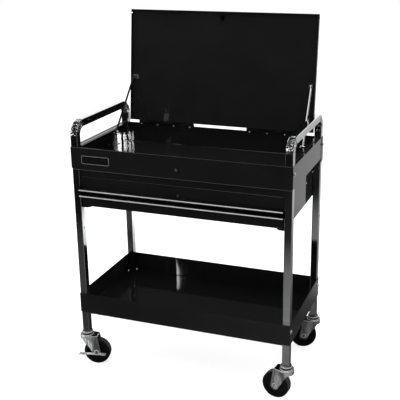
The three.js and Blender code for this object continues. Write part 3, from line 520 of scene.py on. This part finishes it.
def soften_solid(piece, width):
    """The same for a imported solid, whose loose triangles are joined into whole faces first."""
    piece.modifiers.new("normals", "NODES").node_group = DROP_GROUP
    weld = piece.modifiers.new("join corners", "WELD")
    weld.merge_threshold = 0.00002
    flat = piece.modifiers.new("whole faces", "DECIMATE")
    flat.decimate_type, flat.angle_limit = "DISSOLVE", math.radians(1)
    soften(piece, width)


slots = {part["node"]: part["material_slot"] for part in frame["record"]["subparts"]}
for name, piece in nodes.items():
    piece.data.materials.clear()
    piece.data.materials.append(OTHERS.get(name, MATERIALS[slots[name]]))
    soften_solid(piece, EDGE_ROUND)
print("edges softened on", len(nodes), "solids")

# %% [markdown]
# ## Surfaces from numbers
# Everything new in this lesson is a grid of points: a profile carried round an axis or along a path.
# numpy works out the whole grid at once, and the faces follow from the grid's own rows and columns.
# A tube, a tyre and a screw head then differ only in the formula of their points.


# %% The faces of a grid
def quads(rows, columns, around=True, along=False):
    """Faces of a grid of points, closed round its columns, its rows, both or neither."""
    r = np.arange(rows if along else rows - 1)[:, None]
    c = np.arange(columns if around else columns - 1)[None, :]
    r2, c2 = (r + 1) % rows, (c + 1) % columns
    corners = np.stack(np.broadcast_arrays(r * columns + c, r * columns + c2, r2 * columns + c2,
                                           r2 * columns + c), -1)
    return corners.reshape(-1, 4)


def capped(rows, columns):
    """Faces of a grid closed round its columns, with a flat cap on its first and its last row."""
    ends = [list(range(columns))[::-1], list(range((rows - 1) * columns, rows * columns))]
    return quads(rows, columns).tolist() + ends


print("a grid of 3 by 4 points, closed round its columns, has", len(quads(3, 4)), "faces")

# %% [markdown]
# A lathe turns a profile round an axis, as for a wheel or a screw head. A sweep carries a section
# along a path, as for a rod.


# %% Lathed and swept shapes
def across_axis(axis):
    """An axis of length one, and two unit vectors square to it and to each other."""
    axis = np.asarray(axis, float) / np.linalg.norm(axis)
    helper = np.array([0, 0, 1.0]) if abs(axis[2]) < 0.9 else np.array([1.0, 0, 0])
    u = np.cross(helper, axis)
    u /= np.linalg.norm(u)
    return axis, u, np.cross(axis, u)


def lathe(profile, centre, axis, steps):
    """A profile of (radius r, height h) pairs turned round an axis by angles a:
    centre + r (u cos a + v sin a) + h axis."""
    axis, u, v = across_axis(axis)
    r, h = np.asarray(profile, float).T[:, :, None]
    a = np.linspace(0, 2 * np.pi, steps, endpoint=False)[None, :]
    ring = np.cos(a)[..., None] * u + np.sin(a)[..., None] * v
    points = np.asarray(centre, float) + r[..., None] * ring + h[..., None] * axis
    return points.reshape(-1, 3), quads(len(profile), steps)


def sweep(path, section, up):
    """A section of (s, t) offsets carried along a path: path + s side + t lift, where side and lift
    are square to the path and lift is as near to up as it can be."""
    path = np.asarray(path, float)
    along = np.gradient(path, axis=0)
    along /= np.linalg.norm(along, axis=1, keepdims=True)
    side = np.cross(along, up)
    side /= np.linalg.norm(side, axis=1, keepdims=True)
    lift = np.cross(side, along)
    section = np.asarray(section, float)
    points = (path[:, None] + section[None, :, :1] * side[:, None]
              + section[None, :, 1:] * lift[:, None])
    return points.reshape(-1, 3), capped(len(path), len(section))


sample = lathe([(1, height) for height in range(5)], (0, 0, 0), (0, 0, 1), 8)
print("a profile of 5 points turned in 8 steps has", len(sample[1]), "faces")

# %% [markdown]
# A bent rod needs a path whose corners are rounded, and a round section.


# %% Rounded paths and circles
def rounded(points, radius, steps):
    """A path with its inner corners rounded: each is a quadratic curve, whose ends lie radius before
    and radius after the corner."""
    points = np.asarray(points, float)
    out = [points[0]]
    t = np.linspace(0, 1, steps)[:, None]
    for before, corner, after in zip(points, points[1:], points[2:]):
        a = corner + radius * (before - corner) / np.linalg.norm(before - corner)
        b = corner + radius * (after - corner) / np.linalg.norm(after - corner)
        out.extend((1 - t) ** 2 * a + 2 * t * (1 - t) * corner + t ** 2 * b)
    return np.array(out + [points[-1]])


def circle(radius, steps):
    """Points of a circle, as offsets."""
    a = np.linspace(0, 2 * np.pi, steps, endpoint=False)
    return np.stack([radius * np.cos(a), radius * np.sin(a)], -1)


print("a corner rounded in 5 steps gives", len(rounded([(0, 0), (1, 0), (1, 1)], 0.5, 5)), "points")

# %% [markdown]
# The last helper makes points and faces a piece of the cart. The piece rides on one of the cart's
# bodies, so that it moves with it, and takes a finish. A piece that draws a solid anew hides that solid.


# %% From points to a piece of the cart
def make(name, parts, material, body, replaces=()):
    """One object from several (points, faces) parts given in the maker's millimetres. Points that
    meet are merged, and the faces are turned outward."""
    points, faces, count = [], [], 0
    for part_points, part_faces in parts:
        points.append(part_points)
        faces += [[i + count for i in face] for face in np.asarray(part_faces, object).tolist()]
        count += len(part_points)
    mesh = bpy.data.meshes.new(name)
    mesh.from_pydata(at(np.concatenate(points)).tolist(), [], faces)
    work = bmesh.new()
    work.from_mesh(mesh)
    bmesh.ops.remove_doubles(work, verts=work.verts, dist=1e-6)
    bmesh.ops.recalc_face_normals(work, faces=work.faces)
    work.to_mesh(mesh)
    work.free()
    made = bpy.data.objects.new(name, mesh)
    scene.collection.objects.link(made)
    mesh.materials.append(material)
    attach(made, body)
    if replaces:
        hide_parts(*replaces)
    return made


print("ready to make pieces")

# %% [markdown]
# ## The chromed frames
# Each side is one square tube bent twice. Square tube doesn't bend cleanly: the inner wall folds
# into small ridges, the side walls swell over it and the outer wall sinks. Chrome makes a show of
# that, so the bends need real relief and not just a bump. The path is a list of stations, and the
# ridges are a sine along the bend that fades out where the tube turns straight.

# %% Carry a rounded square along the bent path
TUBE, TUBE_CORNER, TUBE_WALL, BEND_RADIUS, FOOT, HANDLE = 28.0, 2.6, 1.5, 42.0, 144.2, 1008.7
BEND_Y, BEND_Z = LEG_Y - BEND_RADIUS, HANDLE - TUBE / 2 - BEND_RADIUS  # what the bends turn about
LEG_STEPS, BEND_STEPS, RAIL_STEPS = 24, 56, 18


def square_section(half, radius, along=9, around=4):
    """A square with round corners: straight runs of points joined by quarter circles."""
    run = np.linspace(-1, 1, along)[:, None] * (half - radius)
    bend = np.linspace(0, np.pi / 2, around + 2)[1:-1, None]
    side = np.hstack([np.full_like(run, half), run])
    corner = (half - radius) + radius * np.hstack([np.cos(bend), np.sin(bend)])
    quarter = np.vstack([side, corner])
    turns = [np.array([[np.cos(a), np.sin(a)], [-np.sin(a), np.cos(a)]])
             for a in np.arange(4) * np.pi / 2]
    return np.vstack([quarter @ turn for turn in turns])


def frame_tube(side):
    """Stations: place in Y and Z, angle turned so far, and how far into a bend. A section's offsets
    are a across the frame and b away from the bend's centre. The inner wall gets ridges of
    sin(15 angle) and sin(23 angle + 1), the outer wall sinks, and the side walls swell."""
    leg = np.linspace(FOOT, BEND_Z, LEG_STEPS, endpoint=False)
    bend = np.linspace(0, np.pi / 2, BEND_STEPS)
    rail = np.linspace(-BEND_Y, BEND_Y, RAIL_STEPS + 2)[1:-1]
    zero, flat = np.zeros(LEG_STEPS), np.zeros(RAIL_STEPS)
    y = np.concatenate([zero - LEG_Y, -BEND_Y - BEND_RADIUS * np.cos(bend), rail,
                        BEND_Y + BEND_RADIUS * np.sin(bend), zero + LEG_Y])
    z = np.concatenate([leg, BEND_Z + BEND_RADIUS * np.sin(bend), flat + (BEND_Z + BEND_RADIUS),
                        BEND_Z + BEND_RADIUS * np.cos(bend), leg[::-1]])
    angle = np.concatenate([zero, bend, flat + np.pi / 2, bend + np.pi / 2, zero + np.pi])
    into = np.concatenate([zero, bend, flat, bend, zero])
    half = TUBE / 2
    a, b = square_section(half, TUBE_CORNER).T[:, None, :]
    window = (np.sin(2 * into) ** 0.8)[:, None]
    inner = np.clip(-b / half, 0, 1) ** 2
    outer = np.clip(b / half, 0, 1) ** 4
    ridge = np.sin(15 * into)[:, None]
    cross = np.sin(23 * into + 1.0)[:, None]
    swell = np.exp(-((b + 5) / 7) ** 2)
    push_a = np.sign(a) * (np.abs(a) > 11) * window * swell * (1.1 + 0.35 * ridge)
    push_b = window * (inner * (1.0 * ridge + 0.4 * cross) - outer * (0.9 + 0.35 * ridge * cross)
                       * (1 - (a / 15) ** 2))
    a, b = a + push_a, b + push_b
    out_y, out_z = -np.cos(angle)[:, None], np.sin(angle)[:, None]
    points = np.stack([side * LEG_X + a + 0 * b, y[:, None] + b * out_y, z[:, None] + b * out_z], -1)
    return points.reshape(-1, 3), quads(*points.shape[:2])


print("a section of", len(square_section(TUBE / 2, TUBE_CORNER)), "points")

# %% [markdown]
# The tube is a surface without thickness at first, and Solidify gives it its wall. Then each point
# is told how far it is into a bend: 0 on the straight runs and 1 halfway round.

# %% Make both frames
for word, side in SIDES.items():
    tube = make(f"tube_{word}", [frame_tube(side)], chrome, "cart", (f"frame_{word}",))
    wall = tube.modifiers.new("wall", "SOLIDIFY")
    wall.thickness, wall.offset = TUBE_WALL / 1000, -1
    soften(tube, 0)
    where = np.empty(len(tube.data.vertices) * 3)
    tube.data.vertices.foreach_get("co", where)
    x, y, z = ((where.reshape(-1, 3) - MIDDLE) * 1000).T
    bent = np.arctan2(np.clip(z - BEND_Z, 0, None), np.clip(np.abs(y) - BEND_Y, 0, None))
    held = tube.data.attributes.new("pinch", "FLOAT", "POINT")
    held.data.foreach_set("value", np.clip(np.sin(2 * bent), 0, 1) ** 0.6)
    print(tube.name, len(tube.data.polygons), "faces")

# %% [markdown]
# ## The casters
# The tyre is a plain lathed shape: a nearly flat tread with round shoulders, a dished web and a hub.
# The faces that are far enough from the axle get the finish of the tread.

# %% Wheels
WHEEL_RADIUS, WHEEL_HALF, TRAIL = 53.5, 16.0, 38.3
TREAD_FROM = 0.0522  # metres from the axle
TURNS = {"front_left": 12.4, "front_right": 170.8, "rear_left": 17.0, "rear_right": 198.6}


def wheel_profile():
    """Radius and distance along the axle, for one closed outline from the bore round the tread."""
    shoulder = np.radians(np.linspace(0, 90, 6))
    half = [(4.3, 18), (12, 18), (13, 17.2), (13.6, 11.6), (15, 10.6), (35, 10.6), (37.4, 11.4),
            (38.6, 14.6), (40, 15.8), (41, 16.2), (42.2, 16.2), (43, 15.8), (47, 15.8)]
    round_edge = [(WHEEL_RADIUS - 3.4 + 3.0 * math.sin(s), WHEEL_HALF - 3.4 + 3.2 * math.cos(s))
                  for s in shoulder]
    crown = [(WHEEL_RADIUS - 0.1, 8), (WHEEL_RADIUS, 0)]
    upper = np.array(half + round_edge + crown)
    lower = upper[:-1][::-1] * [1, -1]
    return np.vstack([upper, lower, upper[:1]])


def caster_place(word):
    """The foot of the swivel axis, the direction from it to the wheel, the axle's direction, and the
    wheel's centre."""
    sx, sy = CORNERS[word]
    turn = math.radians(TURNS[word])
    swivel = np.array([sx * LEG_X, sy * LEG_Y, 0.0])
    trail = np.array([math.cos(turn), math.sin(turn), 0])
    axle = np.array([-math.sin(turn), math.cos(turn), 0])
    return swivel, trail, axle, swivel + TRAIL * trail + [0, 0, WHEEL_RADIUS]


for word in CORNERS:
    axle, hub = caster_place(word)[2:]
    wheel = make(f"tyre_{word}", [lathe(wheel_profile(), hub, axle, 96)], rubber, f"wheel_{word}",
                 (f"caster_wheel_{word}",))
    wheel.data.materials.append(tread)
    centre, spin = Vector(at(hub)), Vector(axle)
    for face in wheel.data.polygons:
        arm = face.center - centre
        if (arm - arm.dot(spin) * spin).length > TREAD_FROM:
            face.material_index = 1
    soften(wheel, 0)
print("four wheels")

# %% [markdown]
# The fork is harder, because it is pressed from one sheet. Its crown is a dish round the bearing. Seen
# from above, it is a circle round the nose and narrows in straight lines to the rear.

# %% The crown of a fork
CROWN, NOSE, REAR_X, REAR_Y = 124.2, 29.0, 44.0, 19.8
CROWN_STEPS = 96


def crown_outline(angle):
    """Distance from the swivel axis to the crown's edge: a circle round the nose, and beyond it
    straight walls that draw in to the rear edge."""
    c, s = np.cos(angle), np.abs(np.sin(angle))
    slope = (NOSE - REAR_Y) / REAR_X
    wall = NOSE / np.maximum(s + slope * c, 1e-6)
    rear = REAR_X / np.maximum(c, 1e-6)
    return np.where(c < 0, NOSE, np.minimum(wall, rear))


def fork_crown():
    """Rows of radius and height from the bearing's top outward. Round the bearing the radius is in
    millimetres, and from the dish on it is taken from the outline."""
    angle = np.linspace(0, 2 * np.pi, CROWN_STEPS, endpoint=False)
    edge = crown_outline(angle)
    nose = np.clip(-np.cos(angle) * 1.6 + 0.5, 0, 1)
    rows = [(6, 134.5), (6, 139.3), (19.2, 139.3), (21.6, 138.3), (22.5, 136), (22.5, 131),
            (21.8, 128.2), (22.6, 125.6), (24.2, 124.5)]
    rows += [(edge - 2.6, CROWN), (edge - 0.9, CROWN - 0.4 + 3.6 * nose),
             (edge - 0.1, CROWN - 1.4 + 5 * nose), (edge, CROWN - 3.2 + 2 * nose), (edge, CROWN - 5.5),
             (edge - 2.5, CROWN - 5.5), (edge - 2.5, CROWN - 2.6), (6, CROWN - 2.6), (6, 134.5)]
    r, z = (np.array([np.broadcast_to(row[k], CROWN_STEPS) for row in rows]) for k in (0, 1))
    points = np.stack([r * np.cos(angle), r * np.sin(angle), z], -1)
    return points.reshape(-1, 3), quads(len(rows), CROWN_STEPS)


print("fork crown at", CROWN, "mm, with", len(fork_crown()[1]), "faces")

# %% [markdown]
# The walls start wide round the nose and draw in to run flat beside the wheel. One grid does both: a
# column for each place along the walls, and rows that go down the sheet.

# %% The walls of a fork
FORK_SHEET, PLATE_Y, WALL_ROWS = 2.5, 19.0, 21
WALL_END, NOSE_LOW, BOSS = 55.3, 108.2, 17.0  # the walls' rear end, the nose's lower edge, round end
SLOPE_FROM, SLOPE_TO, SLOPE_LOW = -14, 21.9, 49.3  # where the lower edge slopes down to the round end
FLAT_BELOW = 84  # under this height the walls are flat


def fork_walls():
    """Columns run from one wall's rear edge round the nose to the other's; rows go down the sheet.
    The walls' distance from the middle eases from the crown's outline to a flat plate."""
    arc = np.linspace(-np.pi / 2, np.pi / 2, 25)
    reach = WALL_END * np.linspace(0, 1, 25)[1:] ** 0.9
    x = np.concatenate([reach[::-1], -NOSE * np.cos(arc), reach])
    wide = np.concatenate([-(NOSE - (NOSE - REAR_Y) * reach[::-1] / REAR_X), NOSE * np.sin(arc),
                           NOSE - (NOSE - REAR_Y) * reach / REAR_X])
    falling = CROWN - (x - REAR_X) / (WALL_END - REAR_X) * (CROWN - WHEEL_RADIUS)
    top = np.where(x > REAR_X, falling, CROWN) - 2.5
    front = NOSE_LOW + (x - SLOPE_FROM) / (SLOPE_TO - SLOPE_FROM) * (SLOPE_LOW - NOSE_LOW)
    end = WHEEL_RADIUS - np.sqrt(np.clip(BOSS ** 2 - (x - TRAIL) ** 2, 0, None))
    low = np.where(x < SLOPE_FROM, NOSE_LOW, np.where(x < SLOPE_TO, front, end))
    down = np.linspace(0, 1, WALL_ROWS)[:, None]
    z = top * (1 - down) + np.minimum(low, top) * down
    ease = np.clip((z - FLAT_BELOW) / (CROWN - FLAT_BELOW), 0, 1)
    ease = ease * ease * (3 - 2 * ease)
    flat = np.sign(wide) * np.minimum(np.abs(wide), PLATE_Y)
    y = np.where(x < 0, wide, flat + (wide - flat) * ease)
    y = np.where((x < 0) & (x > SLOPE_FROM), wide * (0.94 + 0.06 * ease), y)
    return np.stack([x + 0 * z, y, z], -1).reshape(-1, 3), quads(WALL_ROWS, len(x), around=False)


def put_caster(shape, word):
    """Turns a shape drawn about a swivel axis, with +X toward the wheel, to one corner of the cart."""
    points, faces = shape
    swivel, trail, axle = caster_place(word)[:3]
    return points[:, :1] * trail + points[:, 1:2] * axle + [0, 0, 1] * points[:, 2:] + swivel, faces


print("fork walls with", len(fork_walls()[1]), "faces")

# %% [markdown]
# A real crown has a rolled rim, a race of balls in its groove and an edge, and each of these mirrors
# something else. Here that is painted: rows of the crown's grid are those rings, and a row's number
# gives it nickel as a painted highlight or dark steel as painted shade, and the rest stays cloudy zinc.

# %% Forks
PAINTED_HIGHLIGHT_ROWS, PAINTED_SHADE_ROWS = (2, 3, 6, 7, 9, 10, 11), (4, 5, 8)

for word in CORNERS:
    walls = make(f"fork_walls_{word}", [put_caster(fork_walls(), word)], zinc, f"fork_{word}",
                 (f"caster_fork_{word}",))
    wall = walls.modifiers.new("sheet", "SOLIDIFY")
    wall.thickness, wall.offset = FORK_SHEET / 1000, 0
    soften(walls, 0.6, limit=60)
    crown = make(f"fork_crown_{word}", [put_caster(fork_crown(), word)], zinc, f"fork_{word}")
    # nickel on some rings is a painted highlight and dark steel on others painted shade, for what each
    # ring mirrors
    crown.data.materials.append(nickel)
    crown.data.materials.append(dark_steel)
    for face in crown.data.polygons:
        row = face.index // CROWN_STEPS
        face.material_index = 1 if row in PAINTED_HIGHLIGHT_ROWS else 2 if row in PAINTED_SHADE_ROWS else 0
    soften(crown, 0)
print("four forks")

# %% [markdown]
# ## Small metal
# A pull, a plate, screws and washers are small, but they are what makes sheet metal look built. Each
# is again a lathed or swept outline. A screw head is a low dome with a dip for the driver, and a
# washer is a ring with rounded rims. The screws of the hinge leaves stand in a row under the lid.


# %% Screws
def screw(centre, out, radius=3.4, height=1.9):
    """A dome of r = radius cos t, h = height sin t, with a small socket in its middle."""
    t = np.radians(np.linspace(0, 68, 7))
    dome = [(radius * math.cos(v), 0.25 + (height - 0.25) * math.sin(v)) for v in t]
    socket = [(radius * 0.34, height), (radius * 0.28, height * 0.45), (0, height * 0.4)]
    return lathe([(0, 0), (radius, 0)] + dome + socket, centre, out, 20)


HINGE_SCREWS, HINGE_FACE = (-350.7, -277, -203.6, -130.8, 129.6, 203, 277.5, 351), (225.3, 906)
PANEL_SCREWS, PANEL_X = ((91, 757), (189, 774)), 402.2
leaf = [screw((x, *HINGE_FACE), (0, -1, 0), 3.0, 1.7) for x in HINGE_SCREWS]
panel = [screw((side * PANEL_X, y, z), (side, 0, 0)) for side in SIDES.values() for y, z in PANEL_SCREWS]
soften(make("cart_screws", leaf + panel, trim, "cart"), 0)
print(len(leaf) + len(panel), "screws")

# %% [markdown]
# A washer lies under each bolt on the outside of the trays, and at both ends of each axle. Those of
# the chest's rear bolts lie further out, on the lap of its rear wall, and one of the front left
# caster's lies on the arm of the pedal.


# %% Washers
def washer(radius, bore, thickness, seat, centre, axis, steps=40):
    """A flat ring with rounded rims, lying on its seat along the axis."""
    e = 0.3
    outline = [(bore, seat), (radius - e, seat), (radius, seat + e), (radius, seat + thickness - e),
               (radius - e, seat + thickness), (bore, seat + thickness), (bore, seat)]
    return lathe(outline, centre, axis, steps)


CHEST_BOLTS, TRAY_BOLTS, WALL_SEAT, LAP_SEAT = 882.2, 278.9, 432.05, 433.3
FORK_SEAT, PEDAL_SEAT = 20.2, 22.7
rings = []
for sx, sy in CORNERS.values():
    for height in (CHEST_BOLTS, TRAY_BOLTS):
        seat = LAP_SEAT if sy > 0 and height == CHEST_BOLTS else WALL_SEAT
        rings.append(washer(8.0, 5.4, 1.3, seat, (0, sy * LEG_Y, height), (sx, 0, 0)))
soften(make("bolt_washers", rings, nickel, "cart"), 0)
for word in CORNERS:
    axle, hub = caster_place(word)[2:]
    outer = PEDAL_SEAT if word == "front_left" else FORK_SEAT
    parts = [washer(9.2, 4.1, 1.1, FORK_SEAT, hub, axle), washer(9.2, 4.1, 1.1, outer, hub, -axle)]
    soften(make(f"axle_washers_{word}", parts, nickel, f"fork_{word}"), 0)
print(len(rings) + 2 * len(CORNERS), "washers")

# %% [markdown]
# Two rivets on the lid's inner face are painted over with the lid. They have the form of a low
# screw head, and the lid's own measure places them: across, and along from the hinge pin.

# %% Rivets on the lid
LID_RIVETS, LID_FACE = ((-362, 101), (351, 157)), 1.5
rivets = [screw(in_mm(on_lid(x, along, LID_FACE)), (0, -math.cos(LEAN), math.sin(LEAN)), 3.2, 1.6)
          for x, along in LID_RIVETS]
soften(make("lid_rivets", rivets, black_gloss, "lid"), 0)
print(len(rivets), "rivets")

# %% [markdown]
# Each leg has a spare hole near its middle. The hole isn't cut: a dark disc a tenth of a millimetre
# proud of the face is painted shade where the hole's inside would be, in a rim that catches the light.


# %% Holes in the legs
def disc(centre, out, radius):
    """A thin disc just proud of a face."""
    return lathe([(0, 0.12), (radius, 0.12), (radius, 0), (0, 0)], centre, out, 28)


HOLE_HEIGHT = 585.7
for word, side in SIDES.items():
    dark, rims = [], []
    for y in (-LEG_Y, LEG_Y):
        for x, out in ((LEG_X + TUBE / 2, side), (LEG_X - TUBE / 2, -side)):
            centre, axis = (side * x, y, HOLE_HEIGHT), (out, 0, 0)
            dark.append(disc(centre, axis, 3.3))
            rims.append(washer(4.2, 3.2, 0.3, 0.0, centre, axis, 28))
    soften(make(f"hole_discs_{word}", dark, painted_recess_shade, "cart"), 0)
    soften(make(f"hole_rims_{word}", rims, chrome, "cart"), 0)
print("eight holes")

# %% [markdown]
# The pull is a black channel with a bright bead along each lip, and small clips near its ends. A bead
# is half round, so it always has one line that catches the light.


# %% The pull's bright beads and clips
def bead(z, x0, x1, y, tall, proud):
    """A half-round strip along X: z = tall/2 cos t, y goes forward by proud sin t."""
    t = np.linspace(0, np.pi, 13)
    section = np.stack([y - proud * np.sin(t), z + tall / 2 * np.cos(t)], -1)
    section = np.vstack([section, [[y + 0.6, z - tall / 2], [y + 0.6, z + tall / 2]]])
    xs = np.array([x0, x0 + 0.01, x1 - 0.01, x1])
    points = np.stack(np.broadcast_arrays(xs[:, None], section[:, 0], section[:, 1]), -1)
    return points.reshape(-1, 3), capped(len(xs), len(section))


def slab(x0, x1, y0, y1, z0, z1):
    """A plain block."""
    points = np.array([(x, y, z) for x in (x0, x1) for y in (y0, y1) for z in (z0, z1)], float)
    faces = [(0, 1, 3, 2), (4, 6, 7, 5), (0, 4, 5, 1), (2, 3, 7, 6), (0, 2, 6, 4), (1, 5, 7, 3)]
    return points, faces


PULL_LIPS, PULL_HALF, PULL_FRONT = (747.5, 723.9), 401, -240.1
CLIPS, TABS = (-394, 394), (-330, -120, 120, 330)
beads = [bead(z, -PULL_HALF, PULL_HALF, PULL_FRONT, 4.3, 1.2) for z in PULL_LIPS]
soften(make("pull_beads", beads, trim, "drawer"), 0.1)
clips = [slab(x - 0.8, x + 0.8, -238.6, -220.6, 726.3, 745.1) for x in CLIPS]
clips += [slab(x - 9, x + 9, -223.4, -220.6, 731.5, 740) for x in TABS]
soften(make("pull_clips", clips, dark_steel, "drawer"), 0.5)
print(len(beads), "beads and", len(clips), "clips")

# %% [markdown]
# Along the folds of the sheet a fine pale line is painted as the highlight that a rounded fold catches:
# on the upper and lower edge of the chest's front and the upper edge of the drawer's. In the middle of
# the chest's side flanges a dark strip is painted as the shade in a groove.

# %% Painted highlights on the folds and painted shade in the flanges' grooves
FOLD_TALL, FOLD_PROUD = 1.3, 0.4
CHEST_FOLDS, CHEST_HALF, CHEST_FACE = (911.4, 826.1), 427, -227.9
GROOVE_X, GROOVE_HALF_WIDE, GROOVE_HALF_LONG = 420, 2.4, 195
folds = [bead(z, -CHEST_HALF, CHEST_HALF, CHEST_FACE, FOLD_TALL, FOLD_PROUD) for z in CHEST_FOLDS]
soften(make("chest_fold_lines", folds, painted_highlight_grey, "cart"), 0)
low, high = (in_mm(corner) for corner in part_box("drawer_front"))
fold = bead(high[2] - FOLD_TALL / 2 - 0.1, low[0] + 2, high[0] - 2, low[1] + 0.1, FOLD_TALL, FOLD_PROUD)
soften(make("drawer_fold_line", [fold], painted_highlight_grey, "drawer"), 0)
# the dark strips are painted shade in the flanges' grooves
grooves = [slab(side * GROOVE_X - GROOVE_HALF_WIDE, side * GROOVE_X + GROOVE_HALF_WIDE,
                -GROOVE_HALF_LONG, GROOVE_HALF_LONG, 912.5, 913.1) for side in SIDES.values()]
soften(make("flange_grooves", grooves, painted_recess_shade, "cart"), 0)
print(len(folds) + 1, "fold lines and", len(grooves), "grooves")

# %% [markdown]
# The plate on the chest gets a thin raised border and stays blank. The border is four rounded
# rectangles, one inside the other: two on the plate and two raised between them. A grid that is
# closed both ways joins them.


# %% The plate's border
def plate_band(inset, y, steps=7):
    """A rounded rectangle drawn in by inset, as points in X and Z at a depth y."""
    x0, x1, z0, z1, r = -386.7 + inset, -271.7 - inset, 850.7 + inset, 882.7 - inset, 5.0 - inset
    t = np.linspace(0, np.pi / 2, steps)
    corners = [(x1 - r, z1 - r, 0), (x0 + r, z1 - r, 1), (x0 + r, z0 + r, 2), (x1 - r, z0 + r, 3)]
    points = []
    for cx, cz, quarter in corners:
        a = t + quarter * np.pi / 2
        points.append(np.stack([cx + r * np.cos(a), np.full(steps, y), cz + r * np.sin(a)], -1))
    return np.concatenate(points)


PLATE_FACE, RAISED = -229.7, -230.3
rows = [plate_band(0.1, PLATE_FACE), plate_band(0.3, RAISED), plate_band(1.7, RAISED),
        plate_band(1.9, PLATE_FACE)]
border = (np.concatenate(rows), quads(4, len(rows[0]), along=True))
soften(make("plate_border", [border], silver, "cart"), 0)
print("plate border of", len(rows[0]), "corners")

# %% [markdown]
# A stay is a rod pressed flat at its upper end, where it turns on a pin. Its lower end is bent
# outward into the guide, with a round knob on the inner side.

# %% The stays
PIVOT = np.array([379.0, 225.36, 1104.75])
KNEE = np.array([390.0, 65.92, 905.7])
KNOB_X = 385.6
EYE = [(2.9, -3.0), (5.8, -3.0), (6.4, -2.2), (6.4, 2.2), (5.8, 3.0), (2.9, 3.0), (2.9, -3.0)]
KNOB = [(0, -6.0), (2.6, -5.6), (4.4, -4.2), (5.0, -2.2), (4.6, -0.6), (3.1, 0.0), (0, 0.0)]


def stay_rod(side):
    """A round rod along pivot, knee and tip, with a rounded corner, and an eye of radius 6.4."""
    mirror = np.array([side, 1, 1])
    start, tip = PIVOT + (KNEE - PIVOT) * 0.018, KNEE + [10, 0, 0]
    path = rounded(np.array([start, KNEE, tip]) * mirror, 6, 9)
    return [sweep(path, circle(3.9, 20), (0.3, 1, 0)), lathe(EYE, PIVOT * mirror, (1, 0, 0), 32)]


# each stay takes its finish from OTHERS: black on the left as painted shade, chrome on the right as a
# painted highlight
for word, side in SIDES.items():
    rod = make(f"stay_rod_{word}", stay_rod(side), OTHERS[f"stay_{word}"], f"stay_{word}",
               (f"stay_{word}",))
    soften(rod, 0)
    knob = lathe(KNOB, (side * KNOB_X, *KNEE[1:]), (side, 0, 0), 28)
    soften(make(f"stay_knob_{word}", [knob], nickel, f"stay_{word}"), 0)
print("two stays")

# %% [markdown]
# ## The last step


print("cart dressed")
